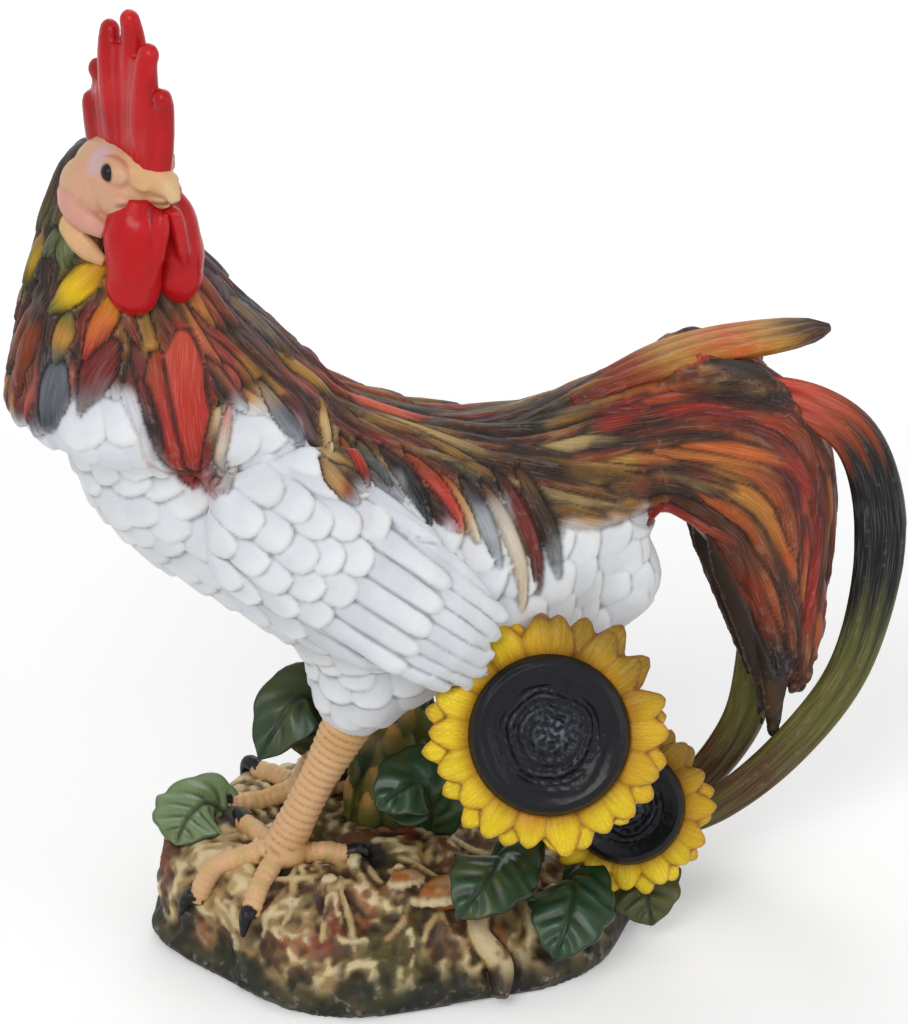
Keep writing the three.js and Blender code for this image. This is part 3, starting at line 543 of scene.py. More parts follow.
def cast(name, clay, voxel, material, nodes, dress, rounds=2):
    """Melts the clay into a casting, paints it with dress and makes the piece."""
    points, quads = melted(clay, voxel)
    points = relaxed(points, quads, rounds)
    tags = tags_at(clay, points)
    hollow = hollows(points, quads, HOLLOW_ROUNDS)
    colours = dress(points, tags, hollow)
    return piece(name, points, quads, colours, material, nodes, tags[:, STRAND], hollow, tags[:, BRUSH])


# Materials


NOISE_ROUGHNESS = 0.55


class Nodes:
    """Short calls for building a material's node tree."""

    def __init__(self, name):
        self.material = bpy.data.materials.new(name)
        self.material.use_nodes = True
        self.tree = self.material.node_tree
        self.shader = self.tree.nodes["Principled BSDF"]

    def make(self, kind, **values):
        node = self.tree.nodes.new(kind)
        for key, value in values.items():
            setattr(node, key, value)
        return node

    def link(self, out, into):
        self.tree.links.new(out, into)

    def attribute(self, name):
        return self.make("ShaderNodeAttribute", attribute_name=name)

    def noise(self, vector, scale, detail):
        node = self.make("ShaderNodeTexNoise")
        node.inputs["Scale"].default_value = scale
        node.inputs["Detail"].default_value = detail
        node.inputs["Roughness"].default_value = NOISE_ROUGHNESS
        self.link(vector, node.inputs["Vector"])
        return node.outputs["Fac"]

    def stretch(self, vector, scale):
        node = self.make("ShaderNodeMapping")
        node.inputs["Scale"].default_value = scale
        self.link(vector, node.inputs["Vector"])
        return node.outputs["Vector"]

    def span(self, value, low, high, to_low, to_high):
        node = self.make("ShaderNodeMapRange")
        self.link(value, node.inputs["Value"])
        for key, v in (("From Min", low), ("From Max", high), ("To Min", to_low), ("To Max", to_high)):
            node.inputs[key].default_value = v
        return node.outputs["Result"]

    def math(self, operation, a, b):
        node = self.make("ShaderNodeMath", operation=operation)
        for socket, v in zip(node.inputs, (a, b)):
            if isinstance(v, (int, float)):
                socket.default_value = v
            else:
                self.link(v, socket)
        return node.outputs["Value"]

    def mix(self, kind, share, a, b):
        node = self.make("ShaderNodeMix", data_type="RGBA", blend_type=kind)
        sockets = [s for s in node.inputs if s.enabled]
        for socket, v in zip(sockets, (share, a, b)):
            if isinstance(v, (int, float)):
                socket.default_value = v
            elif isinstance(v, (tuple, list, np.ndarray)):
                socket.default_value = (*v, 1.0)
            else:
                self.link(v, socket)
        return next(s for s in node.outputs if s.enabled)

    def bump(self, height, distance, strength, before=None):
        node = self.make("ShaderNodeBump")
        node.inputs["Distance"].default_value = distance
        node.inputs["Strength"].default_value = strength
        self.link(height, node.inputs["Height"])
        if before is not None:
            self.link(before, node.inputs["Normal"])
        return node.outputs["Normal"]


def painted(name, rough, coat, streak, grain, wear, barbs=0.35, pits=0.25, shine=0.25):
    """Brush-painted, varnished casting: paint by point, streaks along the feathers, wear on the ridges."""
    n = Nodes(name)
    paint = n.attribute("paint").outputs["Color"]
    strand = n.attribute("strand").outputs["Vector"]
    hollow = n.attribute("hollow").outputs["Fac"]
    place = n.make("ShaderNodeTexCoord").outputs["Object"]
    fine = n.noise(n.stretch(strand, (1.5, 0.05, 0)), 1.0, 2.0)
    lines = n.noise(n.stretch(strand, (3.2, 0.09, 0)), 1.0, 2.0)
    cloud = n.noise(place, 70, 4.0)
    speck = n.noise(place, 900, 2.0)
    brush = n.attribute("brush").outputs["Fac"]
    dark = n.math("MULTIPLY", brush, n.span(fine, 0.42, 0.72, 0, streak))
    pale = n.math("MULTIPLY", brush, n.span(fine, 0.5, 0.25, 0, streak * 0.3))
    colour = n.mix("MULTIPLY", dark, paint, (0.42, 0.36, 0.34))
    colour = n.mix("SCREEN", pale, colour, (0.8, 0.74, 0.66))
    colour = n.mix("MULTIPLY", n.span(cloud, 0.35, 0.7, 0, grain * 1.6), colour, (0.6, 0.56, 0.52))
    colour = n.mix("MULTIPLY", n.span(speck, 0.45, 0.75, 0, grain), colour, (0.55, 0.52, 0.5))
    ridge = n.span(hollow, -0.12, -0.6, 0, 1)
    chips = n.math("MULTIPLY", ridge, n.span(n.noise(place, 210, 4.0), 0.54, 0.62, 0, wear))
    colour = n.mix("MIX", chips, colour, tuple(linear((216, 206, 192))))
    n.link(colour, n.shader.inputs["Base Color"])
    dull = n.math("ADD", n.span(cloud, 0.3, 0.7, rough - 0.07, rough + 0.1), n.span(hollow, 0, 0.8, 0, 0.22))
    n.link(n.math("ADD", dull, n.math("MULTIPLY", chips, 0.3)), n.shader.inputs["Roughness"])
    n.shader.inputs["Specular IOR Level"].default_value = shine
    n.shader.inputs["Coat Weight"].default_value = coat
    n.shader.inputs["Coat Roughness"].default_value = 0.2
    normal = n.bump(n.math("MULTIPLY", brush, lines), 0.0006, barbs)
    normal = n.bump(n.noise(place, 420, 3.0), 0.0005, pits, normal)
    n.link(normal, n.shader.inputs["Normal"])
    return n.material


# The bird's forms, and one surface over all of it that the feathers are laid along
RODS = ["neck_rod", "tail_rod", "left_leg_rod", "right_leg_rod", "left_wing_dowel", "right_wing_dowel"]
TAIL_NODES = ["tail_core"] + [f"{s}_tail_feather_{i}" for s in ("left", "right") for i in (1, 2, 3)]


def smooth_form(names, voxel, rounds, inset=0.0):
    """The smoothed skin of these nodes, drawn in by the inset."""
    points, quads = melted(cad_shell(Clay(), *names), voxel)
    points = relaxed(points, quads, rounds)
    return points - normals_of(points, quads) * inset, quads


BIRD_NODES = ["torso", "left_wing", "right_wing", "neck_cape", *TAIL_NODES, *RODS]
bird = Skin(*smooth_form(BIRD_NODES, voxel=2.6, rounds=14, inset=2.4))

# Torso, neck and tail as one smooth body, so that their paint and relief run on over the seams
core = Skin(*smooth_form(["torso", "neck_cape", "tail_core", *RODS], voxel=2.4, rounds=40, inset=1.8))


# Starts of straight lines to a skin: beside the bird and above the ground
BESIDE = 200
ABOVE = 300


def from_side(side, x, z):
    """Place and normal on the bird, seen straight from one side."""
    return bird.hit((x, side * BESIDE, z), (0, -side, 0))


# The smooth body takes over up to here, fading out over a length, and where it is near enough
SEAM_X = 130
SEAM_LENGTH = 30
CORE_NEAR = 7
CORE_FAR = 12
BURIED = 4


def on_core(points, normals):
    """The points of one casting moved on to the smooth body, where it is near and faces the same way."""
    moved = points.copy()
    for i, (q, n) in enumerate(zip(points.tolist(), normals.tolist())):
        share = 1 - min(max((q[0] - SEAM_X) / SEAM_LENGTH, 0), 1)
        place, normal, _, far = core.tree.find_nearest(q, CORE_FAR)
        if place is not None and share > 0:
            facing = normal.dot(Vector(n)) > 0.2
            share *= 1 - min(max((far - CORE_NEAR) / (CORE_FAR - CORE_NEAR), 0), 1)
            moved[i] = Vector(q).lerp(place if facing else place - normal * BURIED, share)
    return moved


# Lie of the feathers: place x and z, reach, and the way backwards, outwards and upwards
FLOW = np.array(
    [
        (-185, 300, 45, 0.2, 0.4, -1), (-165, 265, 45, 0.45, 0.3, -1), (-120, 225, 45, 0.8, 0.1, -0.75),
        (-75, 190, 45, 0.75, 0, -0.65), (-25, 205, 40, 0.25, 0, -1), (-45, 155, 35, -0.35, 0, -1),
        (30, 150, 40, 1, 0, 0.1), (60, 205, 40, 1, 0, -0.15), (110, 195, 35, 1, 0, 0.2),
        (-150, 340, 40, 0.1, 0.3, -1), (-165, 400, 45, -0.15, 0, -1), (-120, 395, 40, 0.35, 0.2, -1),
        (-105, 335, 40, 0.6, 0.35, -0.8), (-70, 335, 40, 1, 0.3, -0.6), (-60, 290, 40, 0.65, 0.3, -0.8),
        (-10, 285, 45, 1, 0.35, -0.5), (-10, 245, 40, 0.75, 0.1, -0.8), (45, 280, 40, 1, 0.2, -0.1),
        (45, 235, 40, 0.9, 0.05, -0.5), (85, 285, 35, 1, 0, 0.2), (90, 245, 35, 1, 0, -0.25),
        (125, 288, 25, 1, 0, 0.22), (165, 290, 25, 1, 0, -0.2), (128, 258, 25, 1, 0, -0.08),
        (150, 270, 22, 1, 0, -0.15), (170, 256, 22, 0.9, 0, -0.5), (150, 232, 22, 0.75, 0, -0.6),
        (190, 240, 22, 0.45, 0, -0.9), (178, 205, 22, 0.4, 0, -0.95), (205, 200, 22, 0.15, 0, -1),
        (198, 150, 25, 0.12, 0, -1), (180, 150, 25, 0.28, 0, -1), (205, 100, 25, -0.05, 0, -1),
    ]
)


def flow(p):
    """The way that the feathers lie at a place."""
    off = (p[0] - FLOW[:, 0]) ** 2 + (p[2] - FLOW[:, 1]) ** 2
    share = np.exp(-off / (2 * (0.6 * FLOW[:, 2]) ** 2)) + 1e-9
    d = share @ FLOW[:, 3:6]
    out = min(max(p[1] / 25, -1), 1)
    return Vector((d[0], d[1] * out, d[2]))


# Lower edge of the coloured hackle and saddle on the white feathers: x and z
EDGE = np.array(
    [
        (-230, 312), (-188, 318), (-179, 338), (-162, 346), (-150, 341), (-140, 314), (-127, 284),
        (-119, 302), (-113, 327), (-100, 332), (-86, 330), (-70, 314), (-66, 292), (-60, 264), (-53, 280),
        (-40, 284), (-20, 276), (-9, 242), (0, 258), (9, 250), (16, 262), (34, 258), (42, 224), (46, 214),
        (52, 236), (62, 241), (84, 239), (110, 235),
    ]
)


def above_edge(p):
    """How far a place lies above the lower edge of the coloured feathers."""
    return p[2] - np.interp(p[0], EDGE[:, 0], EDGE[:, 1])


def run(skin, start, length, step=3.0, bend=0.0, stop=None):
    """A path over the skin along the flow, until its length is run, it stops moving or stop says so."""
    p, n = skin.drop(Vector(start))
    points, normals, gone = [p], [n], 0.0
    while gone < length:
        d = flow(p)
        d = d - n * d.dot(n)
        d.normalize()
        d = d + n.cross(d) * bend * math.sin(2 * math.pi * (0.15 + 0.8 * gone / length))
        q, m = skin.drop(p + d.normalized() * step)
        if (q - p).length < 0.4 * step or m.dot(n) < 0.2:
            break
        p, n = q, (n + m * 0.6).normalized()
        points.append(p)
        normals.append(n)
        gone += step
        if stop and stop(p):
            break
    return np.array(points), np.array(normals), gone


def shade(name, spread=0.06):
    """A paint colour a little lighter or darker by chance."""
    return PAINT[name] * (1 + spread * (rng.random() * 2 - 1))


# Airbrush strokes on the left side, given also to the right: colour, radius, strength and points
STROKES = [
    ("umber", 22, 0.9, [(-181, -1, 401), (-188, -4, 375), (-193, -10, 353)]),
    ("black", 9, 0.8, [(-184, -10, 395), (-190, -16, 372)]),
    ("rust", 9, 0.8, [(-193, -10, 353), (-200, -15, 330)]),
    ("moss", 9, 0.9, [(-176, -8, 408), (-174, -19, 392)]),
    ("slate", 11, 0.85, [(-184, -34, 349), (-191, -43, 322)]),
    ("maroon", 10, 0.9, [(-158, -47, 362), (-168, -50, 350), (-175, -51, 334)]),
    ("umber", 8, 0.7, [(-143, -48, 368), (-132, -48, 372)]),
    ("red", 13, 0.85, [(-125, -47, 361), (-127, -64, 339), (-127, -78, 319), (-122, -66, 288)]),
    ("maroon", 7, 0.7, [(-147, -58, 348), (-143, -67, 333)]),
    ("black", 6, 0.9, [(-143, -68, 328), (-141, -73, 314)]),
    ("coral", 9, 0.85, [(-120, -18, 398), (-113, -36, 374), (-107, -50, 354), (-98, -58, 340)]),
    ("ochre", 6, 0.75, [(-113, -15, 398), (-103, -25, 378)]),
    ("slate", 14, 0.85, [(-106, -10, 396), (-94, -16, 370), (-80, -18, 350)]),
    ("black", 13, 0.8, [(-104, -4, 398), (-90, -6, 372), (-74, -6, 350), (-52, -4, 328)]),
    ("moss", 8, 0.7, [(-94, -34, 362), (-84, -42, 345)]),
    ("ochre", 9, 0.75, [(-92, -48, 346), (-83, -54, 330)]),
    ("rust", 8, 0.7, [(-64, -14, 336), (-38, -12, 310)]),
    ("maroon", 8, 0.8, [(-76, 0, 346), (-40, 0, 316), (-14, 0, 300)]),
    ("slate", 9, 0.9, [(-79, -57, 322), (-66, -52, 308)]),
    ("maroon", 5, 0.8, [(-61, -46, 308), (-58, -52, 300)]),
    ("sand", 7, 0.85, [(-55, -42, 303), (-57, -64, 294), (-61, -76, 276)]),
    ("moss", 9, 0.8, [(-42, -43, 294), (-36, -56, 284)]),
    ("slate", 8, 0.8, [(-36, -58, 284), (-26, -58, 272)]),
    ("umber", 10, 0.75, [(-52, -30, 312), (-20, -30, 296), (20, -30, 284)]),
    ("ochre", 6, 0.6, [(-36, -26, 299), (-4, -18, 288), (15, -21, 281)]),
    ("black", 6, 0.8, [(-30, -40, 296), (0, -46, 276), (20, -50, 262)]),
    ("black", 6, 0.8, [(24, -34, 280), (52, -40, 266)]),
    ("rust", 8, 0.75, [(-20, -34, 288), (2, -44, 272)]),
    ("red", 5, 0.85, [(-42, -71, 277), (-48, -80, 268)]),
    ("red", 6, 0.9, [(2, -44, 271), (7, -57, 255), (8, -66, 236)]),
    ("black", 8, 0.9, [(-5, -59, 260), (-7, -80, 247), (-10, -85, 234)]),
    ("sand", 6, 0.8, [(9, -62, 247), (4, -83, 226), (3, -87, 204)]),
    ("slate", 8, 0.6, [(19, -65, 238), (20, -78, 214)]),
    ("maroon", 6, 0.9, [(39, -46, 257), (45, -60, 230), (47, -64, 209)]),
    ("umber", 6, 0.8, [(52, -44, 252), (55, -58, 226)]),
    ("sand", 5, 0.8, [(35, -63, 224), (37, -67, 200)]),
    ("black", 9, 0.8, [(9, 0, 285), (41, 0, 281), (70, -5, 281)]),
    ("brown", 10, 0.7, [(35, -24, 274), (62, -36, 265), (87, -40, 253)]),
    ("ochre", 6, 0.6, [(62, -42, 256), (104, -38, 245)]),
    ("ochre", 8, 0.8, [(67, -19, 279), (89, -14, 287)]),
    ("maroon", 7, 0.8, [(80, -8, 288), (110, -8, 297)]),
    ("red", 9, 0.9, [(92, -21, 281), (113, -19, 289), (138, -22, 284), (159, -24, 275)]),
    ("orange", 8, 0.85, [(112, -12, 295), (139, -18, 299)]),
    ("black", 5, 0.95, [(84, -31, 271), (107, -24, 276), (132, -27, 273), (153, -28, 266)]),
    ("orange", 9, 0.85, [(113, -30, 262), (137, -29, 260), (158, -30, 247), (175, -30, 231)]),
    ("rust", 10, 0.8, [(106, -32, 250), (124, -26, 238)]),
    ("ochre", 8, 0.8, [(150, -30, 250), (172, -30, 226), (182, -27, 200)]),
    ("navy", 8, 0.95, [(156, -22, 290), (172, -22, 284), (184, -20, 281)]),
    ("maroon", 8, 0.85, [(166, -25, 268), (182, -26, 250), (190, -26, 228)]),
    ("red", 8, 0.9, [(176, -24, 268), (189, -26, 244), (199, -24, 214), (204, -20, 182), (206, -15, 150)]),
    ("orange", 8, 0.7, [(187, -28, 217), (193, -22, 182), (195, -18, 160)]),
    ("brown", 9, 0.8, [(136, -20, 225), (157, -22, 212), (172, -24, 190)]),
    ("rust", 8, 0.8, [(176, -24, 182), (184, -21, 150)]),
    ("black", 9, 0.9, [(150, -18, 192), (169, -17, 158), (178, -14, 134), (187, -14, 118)]),
    ("black", 15, 0.95, [(170, -20, 152), (183, -18, 130), (190, -16, 112)]),
    ("black", 8, 0.8, [(199, -16, 140), (198, -14, 108)]),
    ("red", 5, 0.9, [(140, -17, 205), (152, -16, 178), (164, -15, 150)]),
    ("ochre", 7, 0.9, [(187, -14, 110), (190, -14, 96)]),
    ("black", 6, 0.95, [(194, -12, 80), (190, -12, 70)]),
    ("maroon", 6, 0.8, [(204, -12, 120), (200, -12, 98)]),
]

# Paint sets of the coloured feathers, from root to tip
SETS = {
    "hackle": (("umber", "rust", "maroon"), ("maroon", "rust", "umber"), ("umber", "brown", "black"),
               ("brown", "coral", "maroon"), ("umber", "maroon", "black"), ("brown", "ochre", "umber")),
    "saddle": (("umber", "brown", "black"), ("brown", "ochre", "umber"), ("moss", "umber", "black"),
               ("umber", "sand", "brown"), ("black", "rust", "maroon"), ("umber", "ochre", "brown")),
    "tail": (("maroon", "red", "orange"), ("umber", "maroon", "red"), ("rust", "orange", "ochre"),
             ("brown", "rust", "maroon"), ("red", "orange", "umber"), ("ochre", "rust", "umber")),
}


def whites():
    """Paint of a white feather, from root to tip; the grey at its root is a painted shade where it lies under
    the feather above.
    """
    return (tinted(PAINT["white"], "grey", 0.3), shade("white", 0.04), shade("snow", 0.03))


def zoned(path, names):
    """Colours along a feather: its own paint under the strokes, which miss it by a little chance."""
    t = np.linspace(0, 1, len(path))
    own = graded([shade(c, 0.15) for c in names], t)
    missed = path + rng.normal(0, 4.0, 3)
    own = airbrush(own, missed, 0.6 + 0.35 * rng.random())
    return tinted(own, "black", 0.55 * (rng.random() < 0.3) * smoothstep(0.2, 0.9, t))


class Feather:
    """A feather in low relief: its line, form, sizes and paint, and the pieces that it may lie on."""

    def __init__(self, path, ups, form, width, thick, lift, colours, brush, on=None, rank=0.0):
        self.path, self.width, self.thick, self.lift, self.rank = path, width, thick, lift, rank
        self.stations, self.wide, self.high = (np.array(a) for a in FORMS[form])
        self.along, self.across, self.up = axes_along(path, ups)
        self.length = steps(path).sum()
        self.seed = rng.random()
        self.brush, self.on = brush, on
        self.colours = graded(colours, self.stations) if len(colours) == 3 else np.asarray(colours)


# Relief: where a feather is too narrow, how far it reaches in depth, and the grooves between feathers
NARROWEST = 1.3
DEEPEST = 10
GROOVE_DEPTH = 0.9

# Coloured feathers lie over the white ones, and the single ones over both
COLOURED_RANK = 4.0
SINGLE_RANK = 8.0


def laid_on(name, points, normals, feathers, ground):
    """Height and tags of a skin under its feathers: each lies on those that start below it."""
    height, best, second = (np.zeros(len(points)) for _ in range(3))
    tags = np.zeros((len(points), TAG_COUNT))
    tags[:, COLOUR] = ground
    for f in feathers:
        if f.on and name not in f.on:
            continue
        reach = f.width / 2 + 3
        near = np.all((points > f.path.min(0) - reach) & (points < f.path.max(0) + reach), axis=1)
        near = np.flatnonzero(near)
        if not len(near):
            continue
        q = points[near]
        k = np.argmin(np.linalg.norm(q[:, None, :] - f.path[None], axis=2), axis=1)
        d = q - f.path[k]
        v = f.stations[k] + (d * f.along[k]).sum(1) / f.length
        wide = np.interp(v, f.stations, f.wide) * f.width / 2
        c = (d * f.across[k]).sum(1)
        facing = (normals[near] * f.up[k]).sum(1) > 0.15
        inside = (np.abs(c) < wide) & (wide > NARROWEST) & (v > 0) & (v < 1)
        inside &= facing & (np.abs((d * f.up[k]).sum(1)) < DEEPEST)
        near, v, c, wide, k = near[inside], v[inside], c[inside], wide[inside], k[inside]
        u = np.abs(c) / np.maximum(wide, 1e-6)
        end = np.interp(v, f.stations, f.high)
        curve = 1 - u**2 if f.brush else (1 - u**3) ** 0.7
        h = (f.thick * end + f.lift * v**2 * (1 - smoothstep(0.88, 1, v))) * curve
        over = h + f.rank > best[near]
        second[near] = np.maximum(second[near], np.minimum(best[near], h + f.rank))
        near, v, c, u, h = near[over], v[over], c[over], u[over], h[over]
        best[near] = h + f.rank
        height[near] = h
        for a in range(3):
            tags[near, a] = np.interp(v, f.stations, f.colours[:, a])
        place = (c + f.seed * STRANDS_APART[0], v * f.length + f.seed * STRANDS_APART[1])
        tags[near, STRAND] = np.stack([*place, np.full_like(c, f.seed)], 1)
        tags[near, BRUSH] = f.brush
        tags[near, RIM] = np.maximum(u, smoothstep(0.86, 1, v))
    # The grooves where a feather rises over the one below go into the rim tag, which is later painted dark: a
    # painted shade between feathers
    groove = (tags[:, BRUSH] > 0) * (1 - smoothstep(0.2, 1.5, best - second))
    tags[:, RIM] = np.maximum(0.6 * smoothstep(0.75, 1.0, tags[:, RIM]), groove)
    return height - GROOVE_DEPTH * groove, tags


def scallop(start, width, length, thick, lift, on):
    """A white feather, laid on at a place."""
    points, normals, gone = run(bird, start, length, step=length / 8, bend=0.2 * (rng.random() - 0.5))
    if gone > 0.6 * length:
        path, ups = resampled(points, normals, FORMS["scallop"][0])
        FEATHERS.append(Feather(path, ups, "scallop", width, thick, lift, whites(), 0.0, on))


def lancet(start, width, length, thick, kind, stop=None, least=18, lift=0.0):
    """A coloured feather, laid on from its root."""
    points, normals, gone = run(bird, start, length, bend=0.6 * (rng.random() - 0.5), stop=stop)
    if gone > least:
        path, ups = resampled(points, normals, FORMS["lancet"][0])
        names = SETS[kind][rng.integers(len(SETS[kind]))]
        paint = zoned(path, names)
        FEATHERS.append(Feather(path, ups, "lancet", width, thick, lift, paint, 1.0, rank=COLOURED_RANK))


FEATHERS = []
BODY = ("torso_plumage", "hackle")


def white_here(p, _):
    return above_edge(p) < 6 and p[0] < 108 and not (p[2] > 262 and p[0] > 0)


# White feathers of breast, belly, thighs and undertail
for p in bird.seeds(14.0, white_here, 1):
    big = 1 + 0.25 * (rng.random() - 0.5)
    if p[0] > 62 and p[2] < 232:
        scallop(p, width=25 * big, length=min(44 * big, 132 - p[0]), thick=1.6, lift=2.6, on=BODY)
    elif p[2] < 192 and -80 < p[0] < 40:
        scallop(p, width=23 * big, length=28 * big, thick=1.4, lift=1.8, on=BODY)
    else:
        scallop(p, width=30 * big, length=34 * big, thick=1.5, lift=2.1, on=BODY)


def below(depth):
    """Stop for a feather that ends a little past the edge of the white."""
    return lambda p: above_edge(p) < depth


# Saddle feathers, and tongues of them that hang over the wings: x, z and length
for p in bird.seeds(9.5, lambda p, _: above_edge(p) > 3 and -66 < p[0] < 104 and p[2] > 225, 2):
    lancet(p, width=10 + 6 * rng.random(), length=90 + 50 * rng.random(), thick=2.6, kind="saddle",
           stop=below(-6 * rng.random()), lift=0.6 + 2.4 * rng.random())
TONGUES = (
    (-66, 312, 58), (-60, 300, 52), (-52, 300, 40), (-16, 282, 62), (-8, 276, 60), (4, 272, 60),
    (12, 270, 70), (24, 268, 56), (36, 262, 60), (44, 255, 52), (56, 262, 34),
)
for x, z, length in TONGUES:
    for _, side in SIDES:
        start, _ = from_side(side, x, z)
        lancet(start, width=8 + 3 * rng.random(), length=length, thick=2.4, kind="saddle", lift=2.2)


def hackle_here(p, _):
    return above_edge(p) > 4 and (p[0] <= -58 or p[2] > 345) and p[2] > 280


# Hackle
for p in bird.seeds(8.5, hackle_here, 3):
    far = 50 if p[2] > 385 else 84
    lancet(p, width=11 + 5 * rng.random(), length=far * (0.8 + 0.5 * rng.random()), thick=2.6, kind="hackle",
           stop=below(-8 * rng.random()), lift=0.8 + 2.4 * rng.random())

# Single feathers of the hackle: width, paint from root to tip and points on the left side
HACKLE = [
    (14, ("moss", "sage", "moss"), [(-176, -8, 408), (-175, -14, 400), (-174, -20, 386)]),
    (17, ("gold", "yellow", "moss"), [(-156, -28, 395), (-172, -26, 383), (-188, -21, 366)]),
    (13, ("olive", "ochre", "olive"), [(-175, -29, 373), (-180, -31, 360), (-184, -34, 346)]),
    (14, ("gold", "orange", "red"), [(-153, -40, 385), (-163, -41, 368), (-173, -43, 350)]),
    (19, ("maroon", "maroon", "black"), [(-155, -47, 364), (-168, -50, 350), (-177, -51, 328)]),
    (21, ("slate", "slate", "black"), [(-181, -34, 352), (-188, -38, 334), (-193, -43, 314)]),
    (19, ("umber", "rust", "black"), [(-186, -4, 380), (-193, -10, 353), (-202, -15, 320)]),
    (26, ("coral", "red", "maroon"),
     [(-121, -44, 366), (-127, -64, 339), (-127, -78, 319), (-121, -66, 286)]),
    (18, ("rust", "red", "maroon"), [(-138, -52, 360), (-138, -66, 338), (-134, -76, 312), (-127, -68, 290)]),
    (9, ("maroon", "black", "navy"), [(-148, -57, 348), (-143, -67, 331), (-139, -74, 310)]),
    (8, ("sand", "navy", "black"), [(-109, -62, 334), (-119, -76, 316), (-122, -72, 284)]),
    (7, ("coral", "sand", "navy"), [(-103, -62, 334), (-113, -76, 314), (-117, -72, 284)]),
    (12, ("umber", "black", "slate"), [(-88, -46, 336), (-76, -58, 318), (-66, -54, 300)]),
    (10, ("ochre", "sand", "cream"), [(-58, -28, 314), (-56, -42, 304), (-57, -60, 295)]),
    (9, ("rust", "red", "maroon"), [(-46, -40, 302), (-42, -58, 288), (-43, -70, 277)]),
    (12, ("brown", "slate", "black"), [(-36, -40, 300), (-31, -54, 286), (-28, -62, 274)]),
    (13, ("umber", "black", "navy"), [(-26, -38, 292), (-10, -58, 268), (-6, -68, 254)]),
    (10, ("rust", "red", "coral"), [(-14, -36, 288), (4, -54, 261), (8, -64, 242)]),
    (9, ("ochre", "sand", "cream"), [(2, -42, 274), (12, -58, 252), (16, -64, 236)]),
    (11, ("umber", "slate", "grey"), [(12, -42, 272), (22, -60, 244), (26, -66, 222)]),
    (10, ("brown", "sand", "cream"), [(22, -42, 268), (36, -62, 228), (37, -70, 194)]),
    (11, ("umber", "maroon", "umber"), [(30, -36, 272), (45, -60, 232), (47, -68, 202)]),
    (12, ("brown", "umber", "black"), [(42, -34, 268), (55, -56, 232), (60, -64, 208)]),
]
for width, names, line in HACKLE:
    for _, side in SIDES:
        spots = spline(line, len(FORMS["lancet"][0]))
        middle = -12.5 * np.clip((spots[:, 2] - 300) / 110, 0, 1)
        spots[:, 1] = middle - side * (spots[:, 1] - middle)
        laid = [bird.drop(Vector(q)) for q in spots]
        path, ups = np.array([q for q, _ in laid]), np.array([n for _, n in laid])
        colours = [shade(c, 0.05) for c in names]
        FEATHERS.append(Feather(path, evened(ups), "lancet", width, 3.4, 2.4, colours, 0.8, rank=SINGLE_RANK))

# Wings: rows of coverts, then long quills
WING_SLOPE = math.radians(40)
WING_ROOT = (-115.6, 291.3)


def wing_path(side, along, across, length, stations, fan=0.0):
    points, normals = [], []
    for t in stations:
        a = along + t * length
        c = across * (1 - fan * t)
        x = WING_ROOT[0] + a * math.cos(WING_SLOPE) + c * math.sin(WING_SLOPE)
        z = WING_ROOT[1] - a * math.sin(WING_SLOPE) + c * math.cos(WING_SLOPE)
        place, normal = from_side(side, x, z)
        if place is None:
            return None
        points.append(place)
        normals.append(normal)
    return np.array(points), evened(np.array(normals))


def wing_feather(side, on, form, along, across, length, fan, width, thick, lift):
    laid = wing_path(side, along, across, length, FORMS[form][0], fan)
    if laid:
        FEATHERS.append(Feather(*laid, form, width, thick, lift, whites(), 0.0, on))


for name, side in SIDES:
    on = (f"{name}_wing_plumage",)
    for row, along in enumerate((-6, 8, 22, 36, 50)):
        half = float(np.interp(along, [-5, 0, 14, 50, 100], [16, 26, 44, 48, 42]))
        for across in np.arange(-half, half + 1, 15.0) + (row % 2) * 7.5:
            wing_feather(side, on, "scallop", along + 3 * rng.random(), across,
                         length=31, fan=-0.1, width=20, thick=1.6, lift=2.2)
    for i, across in enumerate(np.linspace(38, -32, 7)):
        wing_feather(side, on, "quill", 60 + 2 * i, across,
                     length=62, fan=0.05, width=13, thick=2.4, lift=2.0)
    for i, across in enumerate(np.linspace(40, -32, 9)):
        wing_feather(side, on, "quill", 92, across,
                     length=84 + 6 * math.sin(i * 0.45), fan=0.3, width=9.8, thick=2.6, lift=1.4)

# Tail
for p in bird.seeds(12.0, lambda p, _: p[0] > 84 and above_edge(p) > 0, 4):
    lancet(p, width=14 + 9 * rng.random(), length=110 + 70 * rng.random(), thick=3.0, kind="tail",
           lift=0.8 + 3.2 * rng.random(), least=24)

PLUMAGE = painted(
    "painted_plumage", rough=0.42, coat=0.04, streak=0.4, grain=0.1, wear=0.1, barbs=0.3, shine=0.16
)


